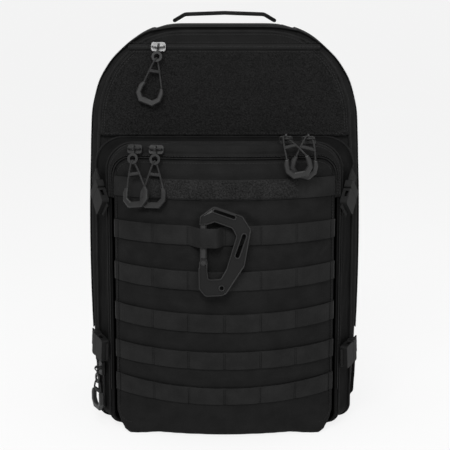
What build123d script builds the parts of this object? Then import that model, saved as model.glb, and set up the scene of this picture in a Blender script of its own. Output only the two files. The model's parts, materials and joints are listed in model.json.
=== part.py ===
from build123d import *

import os
from math import asin, atan2, cos, pi, radians, sin, sqrt, tan

# Trauma backpack in millimetres. +Z is up and the pack stands on z = 0, its front faces -Y and
# its right side, seen from the front, is +X. The origin is under the middle of the pack.

os.makedirs("parts", exist_ok=True)

# ---- Driving dimensions ------------------------------------------------------------------
GAP = 0.3  # air between pieces that only touch

# Main bag: a flat top, quarter-ellipse shoulders, bowed sides and rounded foot corners
BAG_TOP = 447.0
BAG_FLOOR = 1.8
TOP_FLAT_HALF = 50.0
SHOULDER_Z, SHOULDER_HALF = 340.0, 147.5
WAIST_Z, WAIST_HALF = 200.0, 151.5
FOOT_Z, FOOT_HALF = 23.0, 146.0
BAG_FRONT, BAG_BACK = -24.0, 98.0
FRONT_ROUNDING, BACK_ROUNDING = 9.0, 16.0
PANEL_FOOT_Z, PANEL_FOOT_Y = 323.0, -24.0  # the upper front leans back from here
PANEL_HEAD_Z, PANEL_HEAD_Y = 447.0, -3.0
CLOTH = 3.0  # padded cloth wall

# Middle compartment: a tapered tray between the bag and the front section
TRAY_BACK, TRAY_FRONT = BAG_FRONT - GAP, -65.7
TRAY_BACK_HALF, TRAY_FRONT_HALF = 143.5, 124.0
TRAY_BACK_TOP, TRAY_FRONT_TOP = 322.6, 319.6
TRAY_FLOOR_BACK, TRAY_FLOOR_FRONT = 3.0, 5.0
TRAY_CORNER, TRAY_FOOT_CORNER = 30.0, 20.0
TRAY_WALL = 2.2

# Front section: an organiser pocket whose face is an arc in plan and in side view
SECTION_REAR = TRAY_FRONT - 0.6
SECTION_FLOOR = 1.0
FACE_HALF, FACE_EDGE = 119.0, -71.0
BULGE_TOP, BULGE_FOOT, BULGE_MAX = 18.0, 26.0, 57.0
BULGE_MID_Z, BULGE_HALF_Z = 165.0, 155.0
POCKET_HALF, POCKET_TOP = 120.0, 306.0
POCKET_TOP_CORNER, POCKET_FOOT_CORNER = 20.0, 23.0
FLAP_HALF, FLAP_TOP, FLAP_CORNER = 127.0, 321.0, 32.0
FLAP_FOOT = 262.0
FACE_LEVELS = (1.0, 40.0, 85.0, 125.0, 165.0, 205.0, 245.0, 285.0, 322.0)

# Load-bearing webbing rows: 20 mm webbing, stitched down every 38.1 mm
WEBBING_WIDTH, WEBBING = 20.0, 1.4
ROW_LEVELS = (229.0, 182.0, 136.5, 94.0, 53.5)
STITCH = 38.1
LIFT = 0.5  # the webbing stands this far off the face
TUNNEL = 14.2  # room behind the first row where the carabiner passes
TUNNEL_SLOPE = 5.0

# Zipper hardware and pulls
SLIDER_LENGTH, SLIDER_WIDTH, SLIDER_PLATE = 16.0, 10.0, 3.4
ROD_RADIUS, ROD_HEIGHT = 0.9, 7.2
EYE_RADIUS, EYE_HOLE, EYE_WIDTH = 3.2, 2.0, 2.0
TAB_THICK, RING_DROP, RING_RADIUS, RING_HOLE = 1.6, 11.5, 5.8, 3.2
CORD_RADIUS, CORD_SPREAD, CORD_FOLD_X, CORD_FOLD_Y, CORD_FOLD_Z = 1.0, 10.5, 1.6, 13.4, 2.5
GRIP_THICK = 5.0

# Side-release buckles
BUCKLE_WIDTH, BUCKLE_THICK = 26.0, 8.0
SOCKET_LENGTH, PLUG_HEAD, PRONG_LENGTH = 20.0, 10.0, 14.0
STRAP_RUN = 27.0  # straight webbing that a plug slides along
TAB_RUN = 5.0

# Carabiner, drawn about the axis of its gate
HOOK_X, HOOK_Z, HOOK_OFF, HOOK_LEAN = -22.0, 229.0, 8.4, 9.5
HOOK_THICK = 7.5
GATE_HALF, GATE_TOP, GATE_PIVOT = 3.5, 12.6, -26.8
EAR_RADIUS, EAR_SLOT, TONGUE, PIN_RADIUS = 4.2, 3.9, 2.0, 1.9

# Harness
STRAP_WIDTH, STRAP_FRONT, STRAP_BACK = 58.0, 117.0, 129.0
STERNUM_Z = 318.0


def at_depth(y):
    """Frontal plane at depth y: local x is X, local y is Z, its normal faces the front."""
    return Plane.XZ.offset(-y)


# ---- Shapes shared by several pieces -----------------------------------------------------
def bag_outline(grow):
    """Front outline of the main bag, moved outwards by grow."""
    with BuildSketch() as outline:
        with BuildLine():
            Line((0, BAG_TOP + grow), (TOP_FLAT_HALF, BAG_TOP + grow))
            EllipticalCenterArc(
                (TOP_FLAT_HALF, SHOULDER_Z),
                SHOULDER_HALF - TOP_FLAT_HALF + grow,
                BAG_TOP - SHOULDER_Z + grow,
                start_angle=0,
                arc_size=90,
            )
            ThreePointArc(
                (SHOULDER_HALF + grow, SHOULDER_Z),
                (WAIST_HALF + grow, WAIST_Z),
                (FOOT_HALF + grow, FOOT_Z),
            )
            corner = FOOT_Z - BAG_FLOOR + grow
            RadiusArc((FOOT_HALF + grow, FOOT_Z), (FOOT_HALF + grow - corner, BAG_FLOOR - grow), corner)
            Line((FOOT_HALF + grow - corner, BAG_FLOOR - grow), (0, BAG_FLOOR - grow))
            mirror(about=Plane.YZ)
        make_face()
    return outline.sketch


def bag_band(inner, outer, front, back):
    """A band around the bag's outline between two amounts of growth and two depths."""
    with BuildPart() as band:
        with BuildSketch(at_depth(front)):
            add(bag_outline(outer))
            add(bag_outline(inner), mode=Mode.SUBTRACT)
        extrude(amount=front - back)
    return band.part


def leaning_plane(lift):
    """Plane on the leaning upper front, lift outside it, with local y up along the slope."""
    lean = atan2(PANEL_HEAD_Y - PANEL_FOOT_Y, PANEL_HEAD_Z - PANEL_FOOT_Z)
    outward = (0, -cos(lean), sin(lean))
    origin = (0, PANEL_FOOT_Y - lift * cos(lean), PANEL_FOOT_Z + lift * sin(lean))
    return Plane(origin=origin, x_dir=(1, 0, 0), z_dir=outward)


def bag_block(shrink):
    """The main bag as a solid, its faces moved inwards by shrink."""
    front, back = BAG_FRONT + shrink, BAG_BACK - shrink
    shoulder = BAG_FRONT + FRONT_ROUNDING
    with BuildPart() as block:
        with BuildSketch(at_depth(shoulder)):
            add(bag_outline(-shrink))
        extrude(amount=shoulder - back)
        fillet(block.faces().sort_by(Axis.Y)[-1].edges(), BACK_ROUNDING - shrink)
        with BuildSketch(at_depth(shoulder)):
            add(bag_outline(-shrink))
        with BuildSketch(at_depth(front)):
            add(bag_outline(-FRONT_ROUNDING))
        loft(ruled=True)
        split(bisect_by=leaning_plane(-shrink), keep=Keep.BOTTOM)
    return block.part


def tray_loft(grow, front, back):
    """The middle compartment's tapered block between two depths, moved outwards by grow."""
    with BuildPart() as block:
        for y in (back, front):
            t = (y - TRAY_BACK) / (TRAY_FRONT - TRAY_BACK)
            half = TRAY_BACK_HALF + (TRAY_FRONT_HALF - TRAY_BACK_HALF) * t + grow
            top = TRAY_BACK_TOP + (TRAY_FRONT_TOP - TRAY_BACK_TOP) * t + grow
            floor = TRAY_FLOOR_BACK + (TRAY_FLOOR_FRONT - TRAY_FLOOR_BACK) * t - grow
            with BuildSketch(at_depth(y)) as section:
                with Locations((0, (top + floor) / 2)):
                    Rectangle(2 * half, top - floor)
                fillet(section.vertices().group_by(Axis.Y)[-1], TRAY_CORNER + grow)
                fillet(section.vertices().group_by(Axis.Y)[0], TRAY_FOOT_CORNER + grow)
        loft(ruled=True)
    return block.part


def bulge(z):
    """How far the middle of the face stands out from its side edges at height z."""
    t = (z - BULGE_MID_Z) / BULGE_HALF_Z
    end = BULGE_TOP if t > 0 else BULGE_FOOT
    return end + (BULGE_MAX - end) * max(0.0, 1 - t * t)


def face_y(x, z, proud=0.0):
    """Depth of the front face at (x, z), proud outside it."""
    out = bulge(z)
    radius = (FACE_HALF**2 + out**2) / (2 * out)
    return FACE_EDGE - out + radius - sqrt((radius + proud) ** 2 - x * x)


def face_block(proud, half):
    """Everything from well behind the front section to its arched face, half wide each side."""
    rear = SECTION_REAR + 30
    with BuildPart() as block:
        for z in FACE_LEVELS:
            with BuildSketch(Plane.XY.offset(z)):
                with BuildLine():
                    edge = face_y(half, z, proud)
                    ThreePointArc((-half, edge), (0, face_y(0, z, proud)), (half, edge))
                    Polyline((half, edge), (half, rear), (-half, rear), (-half, edge))
                make_face()
        loft()
    return block.part


def pocket_outline(grow, floor):
    """Front outline of the front pocket, moved outwards by grow, down to the height floor."""
    with BuildSketch() as outline:
        with Locations((0, (POCKET_TOP + grow + floor) / 2)):
            Rectangle(2 * (POCKET_HALF + grow), POCKET_TOP + grow - floor)
        corners = outline.vertices().group_by(Axis.Y)
        fillet(corners[-1], POCKET_TOP_CORNER + grow)
        fillet(outline.vertices().group_by(Axis.Y)[0], POCKET_FOOT_CORNER + grow)
    return outline.sketch


def face_band(z, width, inner, outer, left, right):
    """Webbing along the face, centred at height z, between two distances off the face."""
    levels = (z - width / 2, z, z + width / 2)
    with BuildPart() as band:
        for level in levels:
            with BuildSketch(Plane.XY.offset(level)):
                with BuildLine():
                    middle = (left + right) / 2
                    ThreePointArc(*[(x, face_y(x, level, outer)) for x in (left, middle, right)])
                    Line((right, face_y(right, level, outer)), (right, face_y(right, level, inner)))
                    ThreePointArc(*[(x, face_y(x, level, inner)) for x in (right, middle, left)])
                    Line((left, face_y(left, level, inner)), (left, face_y(left, level, outer)))
                make_face()
        loft()
    return band.part


# ---- Main bag ----------------------------------------------------------------------------
with BuildPart() as main_compartment:
    add(bag_block(0.0))
    add(bag_block(CLOTH), mode=Mode.SUBTRACT)
main_compartment.part.label = "main_compartment"
export_step(main_compartment.part, "parts/main_compartment.step")

# The base sheet that the pack stands on
with BuildPart() as bottom_panel:
    with BuildSketch():
        with Locations((0, (BAG_FRONT + BAG_BACK) / 2)):
            RectangleRounded(2 * (FOOT_HALF - FOOT_Z) - 4, BAG_BACK - BAG_FRONT - 22, 12)
    extrude(amount=BAG_FLOOR - GAP)
bottom_panel.part.label = "bottom_panel"
export_step(bottom_panel.part, "parts/bottom_panel.step")

# Stiffening sheet that stands inside the bag against its back wall
with BuildPart() as frame_sheet:
    with BuildSketch(at_depth(BAG_BACK - CLOTH - GAP)):
        with Locations((0, 215)):
            RectangleRounded(240, 370, 40)
    extrude(amount=1.6)
frame_sheet.part.label = "frame_sheet"
export_step(frame_sheet.part, "parts/frame_sheet.step")

with BuildPart() as back_panel:
    with BuildSketch(at_depth(BAG_BACK + GAP)):
        add(bag_outline(-BACK_ROUNDING))
    extrude(amount=-8.0)
    fillet(back_panel.faces().sort_by(Axis.Y)[-1].edges(), 3)
back_panel.part.label = "back_panel"
export_step(back_panel.part, "parts/back_panel.step")

# Two long pads beside the spine channel and one lumbar pad
with BuildPart() as back_pads:
    with BuildSketch(at_depth(BAG_BACK + GAP + 8.3)):
        with Locations((-62, 245), (62, 245)):
            RectangleRounded(92, 250, 22)
        with Locations((0, 65)):
            RectangleRounded(178, 80, 22)
    extrude(amount=-8.0)
    fillet(back_pads.faces().group_by(Axis.Y)[-1].edges(), 5)
back_pads.part.label = "back_pads"
export_step(back_pads.part, "parts/back_pads.step")

# Padded panel on the leaning upper front, the loop field and the pocket zip sewn on it
PANEL_THICK = 3.6
with BuildPart() as upper_front_panel:
    with BuildSketch(at_depth(60)):
        add(bag_outline(-FRONT_ROUNDING))
        with Locations((0, PANEL_FOOT_Z + 1.5)):
            Rectangle(400, 1000, align=(Align.CENTER, Align.MIN), mode=Mode.INTERSECT)
    extrude(amount=120)
    split(bisect_by=leaning_plane(GAP), keep=Keep.TOP)
    split(bisect_by=leaning_plane(PANEL_THICK), keep=Keep.BOTTOM)
upper_front_panel.part.label = "upper_front_panel"
export_step(upper_front_panel.part, "parts/upper_front_panel.step")

FIELD_TOP = 418.0
with BuildPart() as loop_field:
    with BuildSketch(at_depth(60)):
        add(bag_outline(-FRONT_ROUNDING - 4))
        with Locations((0, (PANEL_FOOT_Z + 2 + FIELD_TOP) / 2)):
            Rectangle(400, FIELD_TOP - PANEL_FOOT_Z - 2, mode=Mode.INTERSECT)
    extrude(amount=120)
    split(bisect_by=leaning_plane(PANEL_THICK + 0.2), keep=Keep.TOP)
    split(bisect_by=leaning_plane(PANEL_THICK + 1.8), keep=Keep.BOTTOM)
loop_field.part.label = "loop_field"
export_step(loop_field.part, "parts/loop_field.step")

TOP_ZIP_Z = 421.6
with BuildPart() as top_zip:
    with BuildSketch(at_depth(60)):
        with Locations((0, TOP_ZIP_Z)):
            Rectangle(212, 6)
    extrude(amount=120)
    split(bisect_by=leaning_plane(PANEL_THICK + 0.2), keep=Keep.TOP)
    split(bisect_by=leaning_plane(PANEL_THICK + 1.6), keep=Keep.BOTTOM)
top_zip.part.label = "top_zip"
export_step(top_zip.part, "parts/top_zip.step")

# Zip around the main bag, open at the foot, and the short zip low on the left gusset
RUN_BACK = Vector(TRAY_FRONT_HALF - TRAY_BACK_HALF, TRAY_BACK - TRAY_FRONT, 0).normalized()
GUSSET_OUT = Vector(-RUN_BACK.Y, RUN_BACK.X, 0)
GUSSET = Plane(
    origin=Vector(-TRAY_FRONT_HALF, TRAY_FRONT, 0) + RUN_BACK * 29,
    x_dir=RUN_BACK * -1,
    z_dir=GUSSET_OUT,
)
with BuildPart() as gusset_zips:
    add(bag_band(0.2, 1.2, -12.0, -2.0))
    Box(400, 400, 200, mode=Mode.SUBTRACT)
    with BuildSketch(GUSSET.offset(0.2)):
        with Locations((0, 42)):
            Rectangle(6, 56)
    extrude(amount=1.0)
gusset_zips.part.label = "gusset_zips"
export_step(gusset_zips.part, "parts/gusset_zips.step")

# Bottle pockets low on both sides
with BuildPart() as side_pockets:
    add(bag_band(0.3, 3.2, 6.0, 78.0))
    Box(400, 400, 12, align=(Align.CENTER, Align.CENTER, Align.MIN), mode=Mode.SUBTRACT)
    with Locations((0, 0, 72)):
        Box(400, 400, 500, align=(Align.CENTER, Align.CENTER, Align.MIN), mode=Mode.SUBTRACT)
    with Locations((0, 0, -50)):
        Box(400, 400, 50, align=(Align.CENTER, Align.CENTER, Align.MIN), mode=Mode.SUBTRACT)
side_pockets.part.label = "side_pockets"
export_step(side_pockets.part, "parts/side_pockets.step")

# ---- Middle compartment ------------------------------------------------------------------
with BuildPart() as middle_tray:
    add(tray_loft(0.0, TRAY_FRONT, TRAY_BACK))
    add(tray_loft(-TRAY_WALL, TRAY_FRONT - 5, TRAY_BACK - TRAY_WALL), mode=Mode.SUBTRACT)
middle_tray.part.label = "middle_tray"
export_step(middle_tray.part, "parts/middle_tray.step")

with BuildPart() as middle_zip:
    add(tray_loft(1.2, TRAY_FRONT, TRAY_FRONT + 6))
    add(tray_loft(0.2, TRAY_FRONT - 5, TRAY_FRONT + 11), mode=Mode.SUBTRACT)
    Box(400, 400, 60, mode=Mode.SUBTRACT)
middle_zip.part.label = "middle_zip"
export_step(middle_zip.part, "parts/middle_zip.step")

# ---- Front section -----------------------------------------------------------------------
with BuildPart() as front_pocket:
    add(face_block(0.0, POCKET_HALF + 4))
    with BuildSketch(at_depth(SECTION_REAR)):
        add(pocket_outline(0.0, SECTION_FLOOR))
    extrude(amount=200, mode=Mode.INTERSECT)
    with BuildPart(mode=Mode.PRIVATE) as hollow:
        add(face_block(-CLOTH, POCKET_HALF + 4))
        with BuildSketch(at_depth(SECTION_REAR - 2)):
            add(pocket_outline(-CLOTH, SECTION_FLOOR + CLOTH))
        extrude(amount=200, mode=Mode.INTERSECT)
    add(hollow.part, mode=Mode.SUBTRACT)
front_pocket.part.label = "front_pocket"
export_step(front_pocket.part, "parts/front_pocket.step")


def section_frame(inner, outer_half, outer_top, corner, proud):
    """A frame that arches over the pocket, between the pocket's outline grown by inner and
    a larger rounded outline, standing proud outside the face."""
    with BuildPart() as frame:
        add(face_block(proud, FLAP_HALF + 2))
        with BuildSketch(at_depth(SECTION_REAR)) as opening:
            with Locations((0, (FLAP_FOOT + outer_top) / 2)):
                Rectangle(2 * outer_half, outer_top - FLAP_FOOT)
            fillet(opening.vertices().group_by(Axis.Y)[-1], corner)
            add(pocket_outline(inner, SECTION_FLOOR), mode=Mode.SUBTRACT)
        extrude(amount=200, mode=Mode.INTERSECT)
    return frame.part


with BuildPart() as front_zip:
    add(section_frame(GAP, POCKET_HALF + 2.6, POCKET_TOP + 2.6, POCKET_TOP_CORNER + 2.6, -2.0))
front_zip.part.label = "front_zip"
export_step(front_zip.part, "parts/front_zip.step")

with BuildPart() as storm_flap:
    add(section_frame(2.9, FLAP_HALF, FLAP_TOP, FLAP_CORNER, 1.0))
storm_flap.part.label = "storm_flap"
export_step(storm_flap.part, "parts/storm_flap.step")

STRIP_Z, STRIP_WIDTH, STRIP_LOOP_HALF = 275.5, 21.0, 78.0
with BuildPart() as name_strip:
    add(face_band(STRIP_Z, STRIP_WIDTH, LIFT, LIFT + 0.9, -FACE_HALF, FACE_HALF))
    add(face_band(STRIP_Z, STRIP_WIDTH - 1, LIFT + 1.0, LIFT + 2.2, -STRIP_LOOP_HALF, STRIP_LOOP_HALF))
name_strip.part.label = "name_strip"
export_step(name_strip.part, "parts/name_strip.step")


def lifted_loop(z, left, right):
    """The stretch of a webbing row that stands away from the face over the carabiner."""
    with BuildPart() as loop:
        for level in (z - WEBBING_WIDTH / 2, z, z + WEBBING_WIDTH / 2):
            with BuildSketch(Plane.XY.offset(level)):
                with BuildLine():
                    Polyline(
                        (left, face_y(left, level, LIFT + WEBBING)),
                        (left + TUNNEL_SLOPE - 1, face_y(left, level, TUNNEL + WEBBING)),
                        (right - TUNNEL_SLOPE + 1, face_y(right, level, TUNNEL + WEBBING)),
                        (right, face_y(right, level, LIFT + WEBBING)),
                        (right, face_y(right, level, LIFT)),
                        (right - TUNNEL_SLOPE, face_y(right, level, TUNNEL)),
                        (left + TUNNEL_SLOPE, face_y(left, level, TUNNEL)),
                        (left, face_y(left, level, LIFT)),
                        close=True,
                    )
                make_face()
        loft(ruled=True)
    return loop.part


with BuildPart() as molle_rows:
    add(face_band(ROW_LEVELS[0], WEBBING_WIDTH, LIFT, LIFT + WEBBING, -FACE_HALF, -STITCH))
    add(lifted_loop(ROW_LEVELS[0], -STITCH, 0.0))
    add(face_band(ROW_LEVELS[0], WEBBING_WIDTH, LIFT, LIFT + WEBBING, 0.0, FACE_HALF))
    for row in ROW_LEVELS[1:]:
        add(face_band(row, WEBBING_WIDTH, LIFT, LIFT + WEBBING, -FACE_HALF, FACE_HALF))
molle_rows.part.label = "molle_rows"
export_step(molle_rows.part, "parts/molle_rows.step")

# ---- Grab handle: a stiff webbing arch that rocks about its two feet ----------------------
HANDLE_Y, HANDLE_AXIS_Z = 40.0, BAG_TOP + 2.6
with BuildPart() as grab_handle:
    with BuildSketch(at_depth(HANDLE_Y - 5.5)):
        with BuildLine():
            FilletPolyline(
                (-57, HANDLE_AXIS_Z),
                (-45, HANDLE_AXIS_Z + 7),
                (0, HANDLE_AXIS_Z + 8.6),
                (45, HANDLE_AXIS_Z + 7),
                (57, HANDLE_AXIS_Z),
                radius=8,
            )
            offset(amount=2.2, side=Side.BOTH)
        make_face()
    extrude(amount=-11)
    with BuildSketch(Plane.YZ):
        with BuildLine():
            Polyline(
                (HANDLE_Y - 2.2, HANDLE_AXIS_Z),
                (HANDLE_Y - 5.5, HANDLE_AXIS_Z + 6),
                (HANDLE_Y - 5.5, HANDLE_AXIS_Z + 20),
                (HANDLE_Y + 5.5, HANDLE_AXIS_Z + 20),
                (HANDLE_Y + 5.5, HANDLE_AXIS_Z + 6),
                (HANDLE_Y + 2.2, HANDLE_AXIS_Z),
            )
            ThreePointArc(
                (HANDLE_Y + 2.2, HANDLE_AXIS_Z),
                (HANDLE_Y, HANDLE_AXIS_Z - 2.2),
                (HANDLE_Y - 2.2, HANDLE_AXIS_Z),
            )
        make_face()
    extrude(amount=100, both=True, mode=Mode.INTERSECT)
grab_handle.part.label = "grab_handle"
export_step(grab_handle.part, "parts/grab_handle.step")


# ---- Side-release buckles ----------------------------------------------------------------
# Each is drawn on a plane whose local x runs from the tab towards the strap, whose normal
# faces outwards and whose origin is where the socket's mouth meets the plug's head.
def buckle_socket(plane):
    with BuildPart() as socket:
        with BuildSketch(plane):
            with Locations((-SOCKET_LENGTH / 2, 0)):
                RectangleRounded(SOCKET_LENGTH, BUCKLE_WIDTH, 3)
        extrude(amount=BUCKLE_THICK)
        with BuildSketch(plane.offset(3.4)):
            with Locations((-7.25, 0)):
                Rectangle(15.5, 19.2)
        extrude(amount=3.4, mode=Mode.SUBTRACT)
        with BuildSketch(plane.offset(3.4)):
            with Locations((-8, 11), (-8, -11)):
                Rectangle(7, 5)
        extrude(amount=3.4, mode=Mode.SUBTRACT)
        with BuildSketch(plane.offset(0.8)):
            with Locations((-SOCKET_LENGTH + 2, 0)):
                Rectangle(12, 21)
        extrude(amount=2.2, mode=Mode.SUBTRACT)
    return socket.part


def buckle_plug(plane):
    with BuildPart() as plug:
        with BuildSketch(plane):
            with Locations((GAP + PLUG_HEAD / 2, 0)):
                RectangleRounded(PLUG_HEAD, BUCKLE_WIDTH, 2.5)
        extrude(amount=BUCKLE_THICK)
        with BuildSketch(plane.offset(0.8)):
            with Locations((GAP + PLUG_HEAD / 2, 0)):
                Rectangle(PLUG_HEAD + 2, 21.2)
        extrude(amount=2.4, mode=Mode.SUBTRACT)
        with BuildSketch(plane.offset(3.9)):
            with Locations((1 - PRONG_LENGTH / 2, 0)):
                Rectangle(PRONG_LENGTH + 2, 4)
            with Locations((1 - PRONG_LENGTH / 2, 7.2), (1 - PRONG_LENGTH / 2, -7.2)):
                Rectangle(PRONG_LENGTH + 2, 3.4)
        extrude(amount=2.4)
    return plug.part


def webbing_run(plane, start, end):
    """Straight webbing along the buckle's axis, in the slots of its two halves."""
    with BuildPart() as run:
        with BuildSketch(plane.offset(1.2)):
            with Locations(((start + end) / 2, 0)):
                Rectangle(end - start, WEBBING_WIDTH)
        extrude(amount=1.4)
    return run.part


def gusset_buckle(side, height, climb):
    """Buckle plane on the left (side -1) or right (side 1) gusset, climbing at climb degrees
    towards the back from a tab sewn in at the given height."""
    along = Vector(RUN_BACK.X * -side, RUN_BACK.Y, 0)
    outward = Vector(GUSSET_OUT.X * -side, GUSSET_OUT.Y, 0)
    climbing = along * cos(radians(climb)) + Vector(0, 0, 1) * sin(radians(climb))
    root = Vector(side * TRAY_FRONT_HALF, TRAY_FRONT, height) + outward * 3.8
    return Plane(
        origin=root + climbing * (TAB_RUN + SOCKET_LENGTH),
        x_dir=climbing,
        z_dir=outward,
    )


COMPRESSION = {
    "upper_left": gusset_buckle(-1, 246, 47),
    "upper_right": gusset_buckle(1, 245, 50),
    "lower_left": gusset_buckle(-1, 87, 8),
    "lower_right": gusset_buckle(1, 80, 6),
}

with BuildPart() as compression_tabs:
    for plane in COMPRESSION.values():
        add(webbing_run(plane, -SOCKET_LENGTH - TAB_RUN + 1.0, -SOCKET_LENGTH + 6))
compression_tabs.part.label = "compression_tabs"
export_step(compression_tabs.part, "parts/compression_tabs.step")

with BuildPart() as compression_sockets:
    for plane in COMPRESSION.values():
        add(buckle_socket(plane))
compression_sockets.part.label = "compression_sockets"
export_step(compression_sockets.part, "parts/compression_sockets.step")

with BuildPart() as compression_straps:
    for plane in COMPRESSION.values():
        add(webbing_run(plane, 0.6, STRAP_RUN))
compression_straps.part.label = "compression_straps"
export_step(compression_straps.part, "parts/compression_straps.step")

for place, plane in COMPRESSION.items():
    with BuildPart() as plug:
        add(buckle_plug(plane))
    plug.part.label = f"plug_{place}"
    export_step(plug.part, f"parts/plug_{place}.step")

# ---- Harness -----------------------------------------------------------------------------
for side, word in ((-1, "left"), (1, "right")):
    with BuildPart() as shoulder_strap:
        with BuildSketch(at_depth(STRAP_FRONT)):
            with BuildLine(mode=Mode.PRIVATE) as curve:
                ThreePointArc((side * 48, 392), (side * 82, 300), (side * 76, 205))
            SlotArc(curve.edges()[0], STRAP_WIDTH)
        extrude(amount=STRAP_FRONT - STRAP_BACK)
        fillet(shoulder_strap.faces().group_by(Axis.Y)[-1].edges(), 4)
        with Locations((side * 48, (BAG_BACK + 8.6 + STRAP_FRONT + 1) / 2, 398)):
            Box(46, STRAP_FRONT + 1 - BAG_BACK - 8.6, 22)
        with Locations((side * 77.5, STRAP_BACK - 1.8, 166)):
            Box(24, 1.6, 28)
    shoulder_strap.part.label = f"shoulder_strap_{word}"
    export_step(shoulder_strap.part, f"parts/shoulder_strap_{word}.step")


def lower_strap_plane(side):
    """Plane of the webbing from a shoulder strap's ladder lock to the pack's lower corner."""
    head, foot = Vector(side * 79, STRAP_BACK - 6.5, 158), Vector(side * 122, BAG_BACK + 14.6, 52)
    down = foot - head
    across = down.cross(Vector(0, 1, 0))
    return Plane(origin=head, x_dir=down, z_dir=across.cross(down)), down.length


with BuildPart() as ladder_locks:
    for side in (-1, 1):
        plane, _ = lower_strap_plane(side)
        with BuildSketch(plane.offset(-3)):
            with Locations((2, 0)):
                RectangleRounded(26, 34, 3)
        extrude(amount=6)
        with BuildSketch(plane.offset(-3)):
            with Locations((-4.5, 0), (8.5, 0)):
                Rectangle(5, 27)
        extrude(amount=6, mode=Mode.SUBTRACT)
ladder_locks.part.label = "ladder_locks"
export_step(ladder_locks.part, "parts/ladder_locks.step")

with BuildPart() as strap_webbing:
    for side in (-1, 1):
        plane, length = lower_strap_plane(side)
        with BuildSketch(plane.offset(-4.9)):
            with Locations((2 + length / 2, 0)):
                Rectangle(length - 3, 25)
        extrude(amount=1.6)
strap_webbing.part.label = "strap_webbing"
export_step(strap_webbing.part, "parts/strap_webbing.step")

STERNUM = Plane(origin=(4, STRAP_BACK + GAP, STERNUM_Z), x_dir=(1, 0, 0), z_dir=(0, 1, 0))
with BuildPart() as sternum_socket:
    add(buckle_socket(STERNUM))
sternum_socket.part.label = "sternum_socket"
export_step(sternum_socket.part, "parts/sternum_socket.step")

with BuildPart() as sternum_webbing:
    add(webbing_run(STERNUM, -88, -SOCKET_LENGTH + 6))
    add(webbing_run(STERNUM, 0.6, 84))
sternum_webbing.part.label = "sternum_webbing"
export_step(sternum_webbing.part, "parts/sternum_webbing.step")

with BuildPart() as sternum_plug:
    add(buckle_plug(STERNUM))
sternum_plug.part.label = "sternum_plug"
export_step(sternum_plug.part, "parts/sternum_plug.step")

# ---- Carabiner ---------------------------------------------------------------------------
# Local x is across, local y is up along the gate, and the origin is on the gate's axis.
lean = radians(HOOK_LEAN)
HOOK = Plane(
    origin=(HOOK_X, face_y(HOOK_X, HOOK_Z) - HOOK_OFF, HOOK_Z),
    x_dir=(1, 0, 0),
    z_dir=(0, -cos(lean), sin(lean)),
)
with BuildPart() as carabiner_body:
    with BuildSketch(HOOK.offset(-HOOK_THICK / 2)):
        with BuildLine():
            FilletPolyline(
                (-4.2, 13.3),
                (-3.4, 22),
                (11, 32.6),
                (41, 22),
                (49.8, 8),
                (43, -30),
                (22.5, -61),
                (2, -62),
                (-4.8, -54),
                (-5.2, -31.3),
                (3.5, -31.3),
                (5.0, -44),
                (18, -43.5),
                (24, -33),
                (34.5, 1),
                (30, 9.5),
                (12, 16.0),
                (4.2, 13.3),
                radius=(2, 5, 4, 6, 8, 10, 5, 5, 1.5, 1.5, 2, 3, 6, 5, 4, 2),
            )
            Line((4.2, 13.3), (-4.2, 13.3))
        make_face()
    extrude(amount=HOOK_THICK)
    with BuildSketch(HOOK.offset(-HOOK_THICK / 2)):
        with Locations((0, GATE_PIVOT)):
            Circle(EAR_RADIUS)
        with Locations((-0.2, GATE_PIVOT - 3.5)):
            Rectangle(2 * EAR_RADIUS, 7)
    extrude(amount=HOOK_THICK)
    with BuildSketch(HOOK.offset(-EAR_SLOT / 2)):
        with Locations((0, GATE_PIVOT)):
            Circle(EAR_RADIUS + 0.4)
            Rectangle(2 * EAR_RADIUS + 2, 2 * EAR_RADIUS + 0.6)
    extrude(amount=EAR_SLOT, mode=Mode.SUBTRACT)
    with BuildSketch(HOOK.offset(HOOK_THICK / 2)):
        with Locations(Location((22, 24.3), -19)):
            SlotOverall(24, 3.4)
        with Locations(Location((39, -9), 71)):
            SlotOverall(26, 4.2)
        with Locations((19, -53)):
            Circle(2.1)
        with Locations((0, GATE_PIVOT)):
            Circle(PIN_RADIUS)
    extrude(amount=-HOOK_THICK, mode=Mode.SUBTRACT)
carabiner_body.part.label = "carabiner_body"
export_step(carabiner_body.part, "parts/carabiner_body.step")

with BuildPart() as carabiner_gate:
    with BuildSketch(HOOK.offset(-HOOK_THICK / 2)):
        with Locations((0, (GATE_TOP + GATE_PIVOT + 5) / 2)):
            Rectangle(2 * GATE_HALF, GATE_TOP - GATE_PIVOT - 5)
    extrude(amount=HOOK_THICK)
    long_edges = carabiner_gate.edges().filter_by(Axis((0, 0, 0), HOOK.y_dir))
    chamfer(long_edges, 1.5)
    with BuildSketch(HOOK.offset(-TONGUE / 2)):
        with Locations((0, GATE_PIVOT)):
            Circle(GATE_HALF)
        with Locations((0, GATE_PIVOT + 4)):
            Rectangle(2 * GATE_HALF, 8)
        with Locations((0, GATE_PIVOT)):
            Circle(PIN_RADIUS + 0.08, mode=Mode.SUBTRACT)
    extrude(amount=TONGUE)
carabiner_gate.part.label = "carabiner_gate"
export_step(carabiner_gate.part, "parts/carabiner_gate.step")

with BuildPart() as carabiner_pin:
    with BuildSketch(HOOK.offset(-HOOK_THICK / 2)):
        with Locations((0, GATE_PIVOT)):
            Circle(PIN_RADIUS)
    extrude(amount=HOOK_THICK)
carabiner_pin.part.label = "carabiner_pin"
export_step(carabiner_pin.part, "parts/carabiner_pin.step")

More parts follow.
